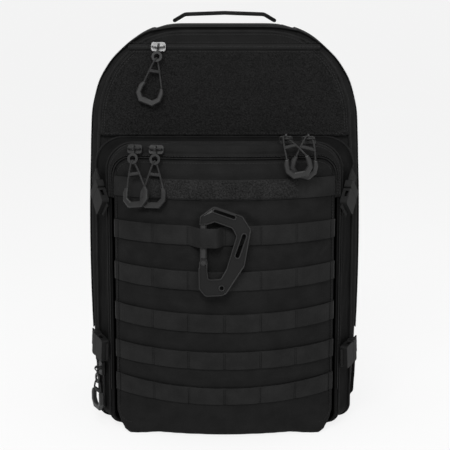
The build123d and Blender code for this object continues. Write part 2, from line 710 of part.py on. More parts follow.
# Torsion spring around the pin, beside the gate's tongue, with a leg down to the body
with BuildPart() as carabiner_spring:
    with BuildSketch(HOOK.offset(TONGUE / 2 + 0.1)):
        with Locations((0, GATE_PIVOT)):
            Circle(3.1)
        with Locations((2.7, GATE_PIVOT - 2.2)):
            Rectangle(0.8, 4.4)
        with Locations((0, GATE_PIVOT)):
            Circle(2.3, mode=Mode.SUBTRACT)
    extrude(amount=0.7)
carabiner_spring.part.label = "carabiner_spring"
export_step(carabiner_spring.part, "parts/carabiner_spring.step")


# ---- Zipper sliders and their pulls ------------------------------------------------------
# A slider is drawn on the zip: local x along its rod, local y up, the normal outwards.
def zip_slider(base, length, width):
    """Slider body with the arched rod that its tab hangs from."""
    reach = min(6.5, length / 2 - 1)
    with BuildPart() as slider:
        with BuildSketch(base):
            RectangleRounded(length, width, 3)
        extrude(amount=SLIDER_PLATE)
        with BuildLine(base) as arch:
            FilletPolyline(
                (-reach, 0, SLIDER_PLATE - 1),
                (-reach, 0, ROD_HEIGHT),
                (reach, 0, ROD_HEIGHT),
                (reach, 0, SLIDER_PLATE - 1),
                radius=1.6,
            )
        with BuildSketch(Plane(origin=arch.line @ 0, z_dir=arch.line % 0)):
            Circle(ROD_RADIUS)
        sweep(path=arch.line)
    return slider.part


def pull_tab(rod):
    """Cast tab: an eye around the slider's rod and a key-hole ring for the cord."""
    through_eye = Plane(origin=rod.origin, x_dir=rod.y_dir, z_dir=rod.x_dir)
    with BuildPart() as tab:
        with BuildSketch(through_eye.offset(-EYE_WIDTH / 2)):
            Circle(EYE_RADIUS)
            Circle(EYE_HOLE, mode=Mode.SUBTRACT)
        extrude(amount=EYE_WIDTH)
        with BuildSketch(rod.offset(-TAB_THICK / 2)):
            with Locations((0, -EYE_HOLE - 2.6)):
                Rectangle(2.4, 4)
            with Locations((0, -RING_DROP)):
                Circle(RING_RADIUS)
                Circle(RING_HOLE, mode=Mode.SUBTRACT)
        extrude(amount=TAB_THICK)
    return tab.part


def pull_grip(frame):
    """Faceted half-octagon grip whose two arms taper up to the cord."""
    with BuildPart() as grip:
        with BuildSketch(frame.offset(-GRIP_THICK / 2)):
            with BuildLine():
                Polyline(
                    (12.2, 0),
                    (14.5, -4.5),
                    (14.5, -13.5),
                    (8.0, -21.5),
                    (-8.0, -21.5),
                    (-14.5, -13.5),
                    (-14.5, -4.5),
                    (-12.2, 0),
                    (-8.8, 0),
                    (-9.4, -5),
                    (-9.4, -11),
                    (-5.4, -15.2),
                    (5.4, -15.2),
                    (9.4, -11),
                    (9.4, -5),
                    (8.8, 0),
                    close=True,
                )
            make_face()
        extrude(amount=GRIP_THICK)
        along_normal = Axis(frame.origin, frame.z_dir)
        chamfer(grip.faces().sort_by(along_normal)[-1].edges(), 1.0)
        chamfer(grip.faces().sort_by(along_normal)[0].edges(), 1.0)
    return grip.part


def pull_cord(rod, grip, run_on):
    """Cord from one arm of the grip, through the tab's ring, to the other arm."""
    fold = [
        rod.from_local_coords(Vector(-CORD_FOLD_X, -CORD_FOLD_Y, CORD_FOLD_Z)),
        rod.from_local_coords(Vector(CORD_FOLD_X, -CORD_FOLD_Y, -CORD_FOLD_Z)),
    ]
    if run_on:
        before = Vector(-5, -CORD_FOLD_Y - run_on, 1.7)
        after = Vector(5, -CORD_FOLD_Y - run_on, -1.7)
        fold = [rod.from_local_coords(before), *fold, rod.from_local_coords(after)]
    points = [
        grip.from_local_coords(Vector(-CORD_SPREAD, 0, 0)),
        *fold,
        grip.from_local_coords(Vector(CORD_SPREAD, 0, 0)),
    ]
    legs = [b - a for a, b in zip(points, points[1:])]
    radii = []
    for before, after in zip(legs, legs[1:]):
        half_turn = radians(before.get_angle(after)) / 2
        radii.append(0.45 * min(before.length, after.length) / tan(half_turn))
    with BuildPart() as cord:
        with BuildLine():
            path = FilletPolyline(*points, radius=radii)
        with BuildSketch(Plane(origin=path @ 0, z_dir=path % 0)):
            Circle(CORD_RADIUS)
        sweep(path=path)
    filled = cord.part.volume / (path.length * pi * CORD_RADIUS**2)
    print("cord length", round(path.length, 2), "radii", [round(r, 2) for r in radii])
    print("cord filled", round(filled, 4))
    return cord.part


def leaned(plane, back):
    """The plane turned about its local x by back degrees, its upper end away from outside."""
    normal = plane.z_dir * cos(radians(back)) + plane.y_dir * sin(radians(back))
    return Plane(plane.origin, plane.x_dir, normal)


def turned(plane, angle):
    """The plane turned in itself by angle degrees, anticlockwise from outside."""
    across = plane.x_dir * cos(radians(angle)) + plane.y_dir * sin(radians(angle))
    return Plane(plane.origin, across, plane.z_dir)


def hang(rod, shift, drop, turn):
    """Frame of a grip that hangs in the rod's own plane."""
    origin = rod.from_local_coords(Vector(shift, -drop, 0))
    return turned(Plane(origin, rod.x_dir, rod.z_dir), turn)


def on_face(x, z, lift, back):
    """Plane at (x, z), lift off the arched face and square to it in plan, leaning back."""
    out = bulge(z)
    round_x = asin(x * 2 * out / (FACE_HALF**2 + out**2))
    plane = Plane(
        origin=(x, face_y(x, z, lift), z),
        x_dir=(cos(round_x), sin(round_x), 0),
        z_dir=(sin(round_x), -cos(round_x), 0),
    )
    return leaned(plane, back)


def face_front(x, y, z):
    return Plane(origin=(x, y, z), x_dir=(1, 0, 0), z_dir=(0, -1, 0))


zip_surface = leaning_plane(PANEL_THICK + 1.6 + GAP)
climb = (TOP_ZIP_Z - zip_surface.origin.Z) / zip_surface.y_dir.Z
top_base = Plane(zip_surface.from_local_coords(Vector(-73, climb, 0)), (1, 0, 0), zip_surface.z_dir)
top_rod = turned(top_base.offset(ROD_HEIGHT), -8)
outer_left_base = on_face(-95, 315.5, 3.2, 22)
inner_left_base = on_face(-72, 315.5, 2.6, 22)
outer_left_rod = leaned(outer_left_base.offset(ROD_HEIGHT), 15 - 22)
inner_left_rod = leaned(inner_left_base.offset(ROD_HEIGHT), 11 - 22)
shelf_y = SECTION_REAR - 6.5
inner_right_base = Plane(origin=(66, shelf_y, FLAP_TOP + GAP), x_dir=(1, 0, 0), z_dir=(0, 0, 1))
outer_right_base = Plane(origin=(90, shelf_y, FLAP_TOP + GAP), x_dir=(1, 0, 0), z_dir=(0, 0, 1))
inner_right_rod = inner_right_base.offset(ROD_HEIGHT)
outer_right_rod = outer_right_base.offset(ROD_HEIGHT)
side_base = Plane(GUSSET.from_local_coords(Vector(0, 62, 1.5)), GUSSET.x_dir, GUSSET.z_dir)
side_rod = side_base.offset(ROD_HEIGHT)

# A pull's place: its slider's base, its rod, its grip's frame, the slider's length and width,
# and how far the cord runs on straight past the ring before it drapes down
FLAT, DRAPED = 0.0, 7.6
PULLS = {
    "top": (top_base, top_rod, hang(top_rod, 0, 44, -14), SLIDER_LENGTH, SLIDER_WIDTH, FLAT),
    "outer_left": (
        outer_left_base,
        outer_left_rod,
        turned(on_face(-94, 277.5, 12.9, 17), 8),
        SLIDER_LENGTH,
        SLIDER_WIDTH,
        FLAT,
    ),
    "inner_left": (
        inner_left_base,
        inner_left_rod,
        turned(on_face(-75, 277.0, 6.6, 17), 2),
        SLIDER_LENGTH,
        SLIDER_WIDTH,
        FLAT,
    ),
    "inner_right": (
        inner_right_base,
        inner_right_rod,
        turned(face_front(76, -104.5, 310), 12),
        SLIDER_LENGTH,
        SLIDER_WIDTH,
        DRAPED,
    ),
    "outer_right": (
        outer_right_base,
        outer_right_rod,
        turned(face_front(86, -96.8, 308), -12),
        SLIDER_LENGTH,
        SLIDER_WIDTH,
        DRAPED,
    ),
    "side": (side_base, side_rod, hang(side_rod, 0, 26, 0), SLIDER_WIDTH, SLIDER_LENGTH, FLAT),
}
for place, (base, rod, grip_frame, length, width, run_on) in PULLS.items():
    pieces = {
        f"slider_{place}": zip_slider(base, length, width),
        f"tab_{place}": pull_tab(rod),
        f"cord_{place}": pull_cord(rod, grip_frame, run_on),
        f"grip_{place}": pull_grip(grip_frame),
    }
    for label, solid in pieces.items():
        with BuildPart() as piece:
            add(solid)
        piece.part.label = label
        export_step(piece.part, f"parts/{label}.step")
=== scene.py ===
import bpy
import bmesh
import json
from math import atan2, cos, pi, radians, sin, sqrt
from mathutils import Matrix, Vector, noise
from mathutils.bvhtree import BVHTree

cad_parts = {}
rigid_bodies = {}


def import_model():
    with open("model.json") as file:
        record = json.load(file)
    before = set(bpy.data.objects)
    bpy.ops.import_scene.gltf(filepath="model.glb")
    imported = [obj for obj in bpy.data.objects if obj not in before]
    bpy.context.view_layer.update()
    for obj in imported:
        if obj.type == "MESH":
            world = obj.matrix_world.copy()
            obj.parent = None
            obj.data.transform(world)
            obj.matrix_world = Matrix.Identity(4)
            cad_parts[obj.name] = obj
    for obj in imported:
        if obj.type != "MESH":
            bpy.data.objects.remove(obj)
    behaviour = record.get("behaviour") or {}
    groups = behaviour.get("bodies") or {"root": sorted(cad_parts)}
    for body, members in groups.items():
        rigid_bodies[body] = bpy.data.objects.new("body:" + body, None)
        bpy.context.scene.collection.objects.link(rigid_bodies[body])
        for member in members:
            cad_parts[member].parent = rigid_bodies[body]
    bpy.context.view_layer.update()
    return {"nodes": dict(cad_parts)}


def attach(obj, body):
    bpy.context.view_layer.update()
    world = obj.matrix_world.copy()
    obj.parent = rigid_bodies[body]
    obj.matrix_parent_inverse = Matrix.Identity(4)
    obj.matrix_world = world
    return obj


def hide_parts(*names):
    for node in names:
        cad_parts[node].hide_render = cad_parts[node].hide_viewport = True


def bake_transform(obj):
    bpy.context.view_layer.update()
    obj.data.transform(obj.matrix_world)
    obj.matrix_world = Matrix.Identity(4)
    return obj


# Trauma backpack. Metres, +Z up, the front faces -Y. Lengths in the shape functions are in
# millimetres, the design's own units, and at() turns them into metres.
for leftover in list(bpy.data.objects):
    bpy.data.objects.remove(leftover)
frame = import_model()
NODES = frame["nodes"]
scene = bpy.context.scene
MM = 0.001


def at(x, y, z):
    return Vector((x, y, z)) * MM


# ---- The design's dimensions, in mm ----
BAG_TOP, BAG_FLOOR, TOP_FLAT_HALF = 447.0, 1.8, 50.0
SHOULDER_Z, SHOULDER_HALF = 340.0, 147.5
WAIST_Z, WAIST_HALF = 200.0, 151.5
FOOT_Z, FOOT_HALF = 23.0, 146.0
BAG_FRONT, BAG_BACK = -24.0, 98.0
PANEL_FOOT_Z, PANEL_FOOT_Y, PANEL_HEAD_Z, PANEL_HEAD_Y = 323.0, -24.0, 447.0, -3.0
TRAY_BACK, TRAY_FRONT = -24.3, -65.7
TRAY_BACK_HALF, TRAY_FRONT_HALF = 143.5, 124.0
SECTION_REAR = -66.3
FACE_HALF, FACE_EDGE = 119.0, -71.0
BULGE_TOP, BULGE_FOOT, BULGE_MAX, BULGE_MID_Z, BULGE_HALF_Z = 18.0, 26.0, 57.0, 165.0, 155.0
POCKET_TOP = 306.0
ROW_LEVELS = (229.0, 182.0, 136.5, 94.0, 53.5)
ROW_SAGS = (0.0, 1.0, 1.5, 1.0, 6.0)  # how much lower a row hangs in its middle than at its ends
STITCH, LIFT, WEBBING, TUNNEL = 38.1, 0.5, 1.4, 14.2


def bulge(z):
    """How far the middle of the face stands out from its side edges at height z."""
    t = (z - BULGE_MID_Z) / BULGE_HALF_Z
    end = BULGE_TOP if t > 0 else BULGE_FOOT
    return end + (BULGE_MAX - end) * max(0.0, 1 - t * t)


def face_y(x, z, proud=0.0):
    """Depth of the front face at (x, z), proud outside it."""
    out = bulge(z)
    radius = (FACE_HALF**2 + out**2) / (2 * out)
    return FACE_EDGE - out + radius - sqrt((radius + proud) ** 2 - x * x)


def face_normal(x, z):
    dx = (face_y(x + 1, z) - face_y(x - 1, z)) / 2
    dz = (face_y(x, z + 1) - face_y(x, z - 1)) / 2
    return Vector((dx, -1, dz)).normalized()


LEAN = atan2(PANEL_HEAD_Y - PANEL_FOOT_Y, PANEL_HEAD_Z - PANEL_FOOT_Z)
LEAN_OUT = Vector((0, -cos(LEAN), sin(LEAN)))


def lean_y(z, lift):
    """Depth of the leaning upper front at height z, lift outside it."""
    return PANEL_FOOT_Y + ((z - PANEL_FOOT_Z) * sin(LEAN) - lift) / cos(LEAN)


def bag_outline(grow):
    """Points (x, z) of the bag's front outline moved outwards by grow, from the left foot
    over the top to the right foot."""
    half = []
    count = 40
    for i in range(count + 1):
        a = pi / 2 * i / count
        half.append(
            (
                TOP_FLAT_HALF + (SHOULDER_HALF - TOP_FLAT_HALF + grow) * sin(a),
                SHOULDER_Z + (BAG_TOP - SHOULDER_Z + grow) * cos(a),
            )
        )
    bends = ((SHOULDER_HALF + grow, SHOULDER_Z), (WAIST_HALF + grow, WAIST_Z), (FOOT_HALF + grow, FOOT_Z))
    half += circle_through(*bends, 60)[1:]
    corner = FOOT_Z - BAG_FLOOR + grow
    for i in range(1, 13):
        a = pi / 2 * i / 12
        half.append((FOOT_HALF + grow - corner * (1 - cos(a)), FOOT_Z - corner * sin(a)))
    top = [(x, BAG_TOP + grow) for x in (-TOP_FLAT_HALF / 2, 0, TOP_FLAT_HALF / 2)]
    return [(-x, z) for x, z in reversed(half)] + top + half


def circle_through(a, b, c, count):
    """Points along the arc from a through b to c."""
    ax, az, bx, bz, cx, cz = *a, *b, *c
    d = 2 * (ax * (bz - cz) + bx * (cz - az) + cx * (az - bz))
    ux = ((ax**2 + az**2) * (bz - cz) + (bx**2 + bz**2) * (cz - az) + (cx**2 + cz**2) * (az - bz)) / d
    uz = ((ax**2 + az**2) * (cx - bx) + (bx**2 + bz**2) * (ax - cx) + (cx**2 + cz**2) * (bx - ax)) / d
    r = sqrt((ax - ux) ** 2 + (az - uz) ** 2)
    start, end = atan2(az - uz, ax - ux), atan2(cz - uz, cx - ux)
    turns = [start + (end - start) * i / count for i in range(count + 1)]
    return [(ux + r * cos(a), uz + r * sin(a)) for a in turns]


def arch(half, top, corner, floor, foot=0.0, step=3.0):
    """Points (x, z) of an upside-down U with rounded corners, from its left foot to its right."""
    pts = []
    if foot:
        for i in range(0, 9):
            a = pi / 2 * i / 8
            pts.append((-half + foot * (1 - sin(a)), floor + foot * (1 - cos(a))))
        low = floor + foot
    else:
        low = floor
        pts.append((-half, low))
    n = max(2, int((top - corner - low) / step))
    pts += [(-half, low + (top - corner - low) * i / n) for i in range(1, n + 1)]
    turns = [pi / 2 * i / 12 for i in range(1, 13)]
    pts += [(-half + corner * (1 - cos(a)), top - corner + corner * sin(a)) for a in turns]
    n = max(2, int((half - corner) / step))
    pts += [(-(half - corner) * (1 - i / n), top) for i in range(1, n)]
    return pts + [(0.0, top)] + [(-x, z) for x, z in reversed(pts)]


# ---- Materials ----
def new_material(name):
    material = bpy.data.materials.new(name)
    material.use_nodes = True
    return material, material.node_tree.nodes, material.node_tree.links


def shaded(
    name, tone, roughness, specular, spread=0.2, patch=60.0, sheen=0.0, metallic=0.0,
    coat=0.0, bumps=(), speck=0.0, speck_scale=900.0, edge_wear_and_highlight=0.0,
):
    """A procedural finish: a tone broken up by soft patches and fine specks, and bumps, each
    ("wave" or "noise" or "cells", its size in mm, its depth in mm)."""
    material, nodes, links = new_material(name)
    shader = nodes["Principled BSDF"]
    shader.inputs["Specular IOR Level"].default_value = specular
    shader.inputs["Sheen Weight"].default_value = sheen
    shader.inputs["Sheen Roughness"].default_value = 0.4
    shader.inputs["Metallic"].default_value = metallic
    shader.inputs["Coat Weight"].default_value = coat
    shader.inputs["Coat Roughness"].default_value = 0.25
    place = nodes.new("ShaderNodeTexCoord")
    patches = nodes.new("ShaderNodeTexNoise")
    patches.inputs["Scale"].default_value = patch
    patches.inputs["Detail"].default_value = 4
    links.new(place.outputs["Object"], patches.inputs["Vector"])
    ramp = nodes.new("ShaderNodeValToRGB")
    low, high = tone * (1 - spread), tone * (1 + spread)
    ramp.color_ramp.elements[0].position = 0.3
    ramp.color_ramp.elements[1].position = 0.7
    ramp.color_ramp.elements[0].color = (low, low, low, 1)
    ramp.color_ramp.elements[1].color = (high, high, high, 1)
    links.new(patches.outputs["Fac"], ramp.inputs["Fac"])
    colour = ramp.outputs["Color"]
    if speck:
        specks = nodes.new("ShaderNodeTexNoise")
        specks.inputs["Scale"].default_value = speck_scale
        specks.inputs["Detail"].default_value = 3
        links.new(place.outputs["Object"], specks.inputs["Vector"])
        curve = nodes.new("ShaderNodeMapRange")
        curve.inputs["From Min"].default_value = 0.35
        curve.inputs["From Max"].default_value = 0.65
        curve.inputs["To Min"].default_value = 1 - speck
        curve.inputs["To Max"].default_value = 1 + speck
        links.new(specks.outputs["Fac"], curve.inputs["Value"])
        mix = nodes.new("ShaderNodeVectorMath")
        mix.operation = "SCALE"
        links.new(colour, mix.inputs[0])
        links.new(curve.outputs["Result"], mix.inputs["Scale"])
        colour = mix.outputs["Vector"]
    # Lighter on sharp edges: rubbed edges on the metal, buckles and grips, and on the carabiner a painted
    # highlight along its rims
    if edge_wear_and_highlight:
        edge = nodes.new("ShaderNodeNewGeometry")
        rub_and_highlight = nodes.new("ShaderNodeMapRange")
        rub_and_highlight.inputs["From Min"].default_value = 0.5
        rub_and_highlight.inputs["From Max"].default_value = 0.62
        rub_and_highlight.inputs["To Min"].default_value = 1
        rub_and_highlight.inputs["To Max"].default_value = 1 + edge_wear_and_highlight
        links.new(edge.outputs["Pointiness"], rub_and_highlight.inputs["Value"])
        worn_and_highlit = nodes.new("ShaderNodeVectorMath")
        worn_and_highlit.operation = "SCALE"
        links.new(colour, worn_and_highlit.inputs[0])
        links.new(rub_and_highlight.outputs["Result"], worn_and_highlit.inputs["Scale"])
        colour = worn_and_highlit.outputs["Vector"]
    links.new(colour, shader.inputs["Base Color"])
    rough = nodes.new("ShaderNodeMapRange")
    rough.inputs["To Min"].default_value = max(0.02, roughness - 0.06)
    rough.inputs["To Max"].default_value = min(1.0, roughness + 0.06)
    links.new(patches.outputs["Fac"], rough.inputs["Value"])
    links.new(rough.outputs["Result"], shader.inputs["Roughness"])
    last = None
    for kind, size, depth in bumps:
        if kind == "wave":
            total = None
            for axis in ("X", "Y", "Z"):
                wave = nodes.new("ShaderNodeTexWave")
                wave.bands_direction = axis
                wave.inputs["Scale"].default_value = 1000 / size * pi / 10 / pi
                wave.inputs["Distortion"].default_value = 0.6
                wave.inputs["Detail Scale"].default_value = 2
                links.new(place.outputs["Object"], wave.inputs["Vector"])
                if total is None:
                    total = wave.outputs["Fac"]
                else:
                    plus = nodes.new("ShaderNodeMath")
                    plus.operation = "ADD"
                    links.new(total, plus.inputs[0])
                    links.new(wave.outputs["Fac"], plus.inputs[1])
                    total = plus.outputs["Value"]
        elif kind == "ribs":
            uv = nodes.new("ShaderNodeUVMap")
            wave = nodes.new("ShaderNodeTexWave")
            wave.bands_direction = "X"
            wave.inputs["Scale"].default_value = 1000 / size / 20
            wave.inputs["Distortion"].default_value = 0.8
            links.new(uv.outputs["UV"], wave.inputs["Vector"])
            total = wave.outputs["Fac"]
        elif kind == "cells":
            cells = nodes.new("ShaderNodeTexVoronoi")
            cells.inputs["Scale"].default_value = 1000 / size
            links.new(place.outputs["Object"], cells.inputs["Vector"])
            total = cells.outputs["Distance"]
        else:
            grain = nodes.new("ShaderNodeTexNoise")
            grain.inputs["Scale"].default_value = 1000 / size
            grain.inputs["Detail"].default_value = 3
            links.new(place.outputs["Object"], grain.inputs["Vector"])
            total = grain.outputs["Fac"]
        bump = nodes.new("ShaderNodeBump")
        bump.inputs["Strength"].default_value = 1.0
        bump.inputs["Distance"].default_value = depth * MM
        links.new(total, bump.inputs["Height"])
        if last:
            links.new(last, bump.inputs["Normal"])
        last = bump.outputs["Normal"]
    if last:
        links.new(last, shader.inputs["Normal"])
    return material


M = {
    "pack_cloth": shaded(
        "nylon_cloth", 0.0085, 0.8, 0.07, sheen=0.01, bumps=(("noise", 30, 0.5), ("wave", 0.9, 0.05)),
        speck=0.12
    ),
    "loop_pile": shaded(
        "loop_pile", 0.0095, 0.95, 0.05, spread=0.07, sheen=0.03,
        bumps=(("noise", 2.2, 0.9), ("cells", 1.2, 0.5)), speck=0.5, speck_scale=650
    ),
    "webbing": shaded(
        "woven_webbing", 0.0125, 0.8, 0.07, sheen=0.03, bumps=(("ribs", 1.3, 0.12), ("wave", 0.8, 0.05)),
        speck=0.12
    ),
    "strap": shaded(
        "plain_webbing", 0.0105, 0.8, 0.07, sheen=0.03, bumps=(("wave", 1.1, 0.1),), speck=0.12
    ),
    "spacer_mesh": shaded(
        "air_mesh", 0.0075, 0.95, 0.1, sheen=0.03, bumps=(("cells", 2.6, 1.0), ("noise", 25, 0.5)),
        speck=0.3, speck_scale=380
    ),
    "zip_tape": shaded("zip_tape", 0.008, 0.85, 0.14, bumps=(("wave", 0.7, 0.05),), speck=0.1),
    "zip_coil": shaded("zip_coil", 0.010, 0.5, 0.3, bumps=(("noise", 1.5, 0.05),)),
    "buckle_plastic": shaded("buckle_plastic", 0.0045, 0.6, 0.12, bumps=(("noise", 0.8, 0.02),), edge_wear_and_highlight=0.5),
    "sheet_plastic": shaded("sheet_plastic", 0.03, 0.5, 0.4, bumps=(("noise", 3, 0.05),)),
    # The carabiner's strong edge lightening is a painted highlight along its raised rims
    "carabiner_plastic": shaded(
        "carabiner_plastic", 0.0062, 0.42, 0.24, spread=0.12, bumps=(("noise", 0.7, 0.02),), edge_wear_and_highlight=1.4
    ),
    # Finish for the carabiner's sunk fields: more matte, and its darker tone is painted shade in the
    # recesses
    "carabiner_recess_painted_shade": shaded(
        "carabiner_recess_painted_shade", 0.0048, 0.55, 0.14, spread=0.12, bumps=(("noise", 0.7, 0.02),)
    ),
    "steel": shaded("pin_steel", 0.02, 0.5, 0.2, metallic=0.3, bumps=(("noise", 0.5, 0.01),)),
    "black_metal": shaded("black_metal", 0.009, 0.48, 0.25, bumps=(("noise", 0.9, 0.02),), edge_wear_and_highlight=0.8),
    "bright_metal": shaded(
        "bright_metal", 0.2, 0.34, 0.5, metallic=1.0, bumps=(("noise", 0.9, 0.02),), edge_wear_and_highlight=0.3
    ),
    "pull_cord": shaded("braided_cord", 0.020, 0.75, 0.2, bumps=(("wave", 0.7, 0.12),), speck=0.25),
    "grip_rubber": shaded("grip_rubber", 0.0145, 0.45, 0.25, bumps=(("noise", 0.6, 0.02),), edge_wear_and_highlight=0.5),
    "strip_pile": shaded(
        "strip_pile", 0.0150, 0.95, 0.05, sheen=0.03, bumps=(("noise", 2.2, 0.9), ("cells", 1.2, 0.5)),
        speck=0.5, speck_scale=650
    ),
    # A darker copy of the pack cloth: painted shade on the gussets, the bottle pockets and the hinge
    # cloth, which face away from the lamps
    "pack_cloth_painted_shade": shaded(
        "pack_cloth_painted_shade", 0.0056, 0.85, 0.05, bumps=(("noise", 30, 0.5), ("wave", 0.9, 0.05)), speck=0.12
    ),
    "dark_thread": shaded("dark_thread", 0.004, 0.8, 0.05, bumps=(("noise", 0.5, 0.05),)),
    "thread": shaded("thread", 0.016, 0.7, 0.2, bumps=(("noise", 0.5, 0.05),)),
}


# ---- Mesh tools ----
def finished(obj, finish, body, replaces=(), smooth=True):
    """Gives a piece its finish, its body, if it rides on one, and the CAD nodes it stands for."""
    obj.data.materials.clear()
    obj.data.materials.append(M[finish])
    if smooth and obj.type == "MESH":
        obj.data.polygons.foreach_set("use_smooth", [True] * len(obj.data.polygons))
    if body:
        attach(obj, body)
    if replaces:
        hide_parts(*replaces)
    return obj


def piece(name, verts, faces, uvs=None):
    mesh = bpy.data.meshes.new(name)
    mesh.from_pydata([tuple(v) for v in verts], [], faces)
    mesh.update()
    if uvs:
        layer = mesh.uv_layers.new(name="UVMap")
        for loop in mesh.loops:
            layer.data[loop.index].uv = uvs[loop.vertex_index]
    obj = bpy.data.objects.new(name, mesh)
    scene.collection.objects.link(obj)
    return obj


class Build:
    """Collects swept shapes into one mesh."""

    def __init__(self):
        self.verts, self.faces, self.uvs = [], [], []

    def sweep(self, stations, section):
        """stations: (point, across, out) in metres with unit vectors; section: function of the
        station's number giving (a, b) pairs in mm, a along across and b along out."""
        rings, travelled = [], 0.0
        for i, (point, across, out) in enumerate(stations):
            if i:
                travelled += (point - stations[i - 1][0]).length
            shape = section(i)
            rings.append(len(self.verts))
            for a, b in shape:
                self.verts.append(point + across * a * MM + out * b * MM)
                self.uvs.append((travelled, a * MM))
        count = len(shape)
        for near, far in zip(rings, rings[1:]):
            for k in range(count):
                n = (k + 1) % count
                self.faces.append((near + k, near + n, far + n, far + k))
        self.faces.append(tuple(rings[0] + k for k in reversed(range(count))))
        self.faces.append(tuple(rings[-1] + k for k in range(count)))

    def slug(self, centre, along, out, length, width, height):
        """A small rounded bar: one stitch or one zip tooth."""
        side = along.cross(out)
        base = len(self.verts)
        for s, w, h in ((-0.5, 0.25, 0.3), (-0.28, 0.5, 1.0), (0.28, 0.5, 1.0), (0.5, 0.25, 0.3)):
            for a, b in ((-w, 0.0), (-w * 0.6, h), (w * 0.6, h), (w, 0.0)):
                self.verts.append(
                    centre + along * s * length * MM + side * a * width * MM + out * b * height * MM
                )
                self.uvs.append((s, a))
        for ring in range(3):
            for k in range(4):
                n = (k + 1) % 4
                a, b = base + ring * 4, base + ring * 4 + 4
                self.faces.append((a + k, a + n, b + n, b + k))
        self.faces.append((base + 3, base + 2, base + 1, base))
        self.faces.append((base + 12, base + 13, base + 14, base + 15))

    def object(self, name):
        obj = piece(name, self.verts, self.faces, self.uvs)
        tidy = bmesh.new()
        tidy.from_mesh(obj.data)
        bmesh.ops.recalc_face_normals(tidy, faces=tidy.faces)
        tidy.to_mesh(obj.data)
        tidy.free()
        return obj


def slab(width, thick, low=0.0, round_off=0.45):
    """Flat webbing's section: width wide, from low to low + thick, with rounded edges."""
    w, r = width / 2, thick * round_off
    edge = [
        (w - r * 0.3, low + r * 0.4),
        (w, low + thick / 2),
        (w - r * 0.3, low + thick - r * 0.4),
        (w - r, low + thick),
        (w * 0.5, low + thick),
    ]
    mirror = [(-a, b) for a, b in reversed(edge)]
    return [(-w + r, low), (w - r, low), *edge, (0, low + thick), *mirror]


def ring(radius, count=10, squash=1.0):
    turns = [2 * pi * k / count for k in range(count)]
    return [(radius * cos(a), radius * squash * sin(a)) for a in turns]


def frames_along(points, outs):
    """Stations along a path: each point with its across and out vectors."""
    stations = []
    for i, point in enumerate(points):
        along = points[min(i + 1, len(points) - 1)] - points[max(i - 1, 0)]
        out = outs[i] if isinstance(outs, list) else outs
        out = (out - along.normalized() * out.dot(along.normalized())).normalized()
        stations.append((point, along.normalized().cross(out), out))
    return stations


def resample(points, outs, step):
    """Even steps of step mm along a path, with (point, along, out)."""
    result, carry = [], 0.0
    for i in range(len(points) - 1):
        leg = points[i + 1] - points[i]
        length = leg.length / MM
        if length < 1e-6:
            continue
        s = carry
        while s < length:
            t = s / length
            out = outs if not isinstance(outs, list) else outs[i].lerp(outs[i + 1], t).normalized()
            result.append((points[i].lerp(points[i + 1], t), leg.normalized(), out))
            s += step
        carry = s - length
    return result


def sew(build, points, outs, pitch=3.2, length=2.3):
    for point, along, out in resample(points, outs, pitch):
        out = (out - along * out.dot(along)).normalized()
        build.slug(point, along, out, length, 0.7, 0.35)


def zip_run(build, coil, points, outs, width, low=0.0):
    """Tape and coil of a zip."""
    build.sweep(frames_along(points, outs), lambda i: slab(width, 0.9, low))
    for point, along, out in resample(points, outs, 1.5):
        out = (out - along * out.dot(along)).normalized()
        coil.slug(point + out * (low + 0.7) * MM, along.cross(out), out, 3.0, 0.9, 0.8)


def outer_shell(mesh_bm):
    """Keeps only the largest connected piece's outer skin."""
    left, islands = set(mesh_bm.verts), []
    while left:
        seed = left.pop()
        group, stack = {seed}, [seed]
        while stack:
            v = stack.pop()
            for e in v.link_edges:
                o = e.other_vert(v)
                if o in left:
                    left.discard(o)
                    group.add(o)
                    stack.append(o)
        islands.append(group)

    def size(group):
        heights, widths = [v.co.z for v in group], [v.co.x for v in group]
        return max(heights) - min(heights) + max(widths) - min(widths)

    keep = max(islands, key=size)
    bmesh.ops.delete(mesh_bm, geom=[v for v in mesh_bm.verts if v not in keep], context="VERTS")


def baked(obj):
    """Applies the object's modifiers to its mesh."""
    graph = bpy.context.evaluated_depsgraph_get()
    mesh = bpy.data.meshes.new_from_object(obj.evaluated_get(graph))
    old = obj.data
    obj.modifiers.clear()
    obj.data = mesh
    bpy.data.meshes.remove(old)
    return obj


def soft_copy(name, nodes, voxel, relax=6, skin=False):
    """A soft-edged copy of CAD nodes, evenly meshed at voxel mm."""
    bm = bmesh.new()
    for node in nodes:
        bm.from_mesh(NODES[node].data)
    bmesh.ops.remove_doubles(bm, verts=bm.verts, dist=1e-6)
    if skin:
        outer_shell(bm)
    mesh = bpy.data.meshes.new(name)
    bm.to_mesh(mesh)
    bm.free()
    obj = bpy.data.objects.new(name, mesh)
    scene.collection.objects.link(obj)
    remesh = obj.modifiers.new("even", "REMESH")
    remesh.mode = "VOXEL"
    remesh.voxel_size = voxel * MM
    if relax:
        soften = obj.modifiers.new("soften", "SMOOTH")
        soften.factor = 0.5
        soften.iterations = relax
    return baked(obj)


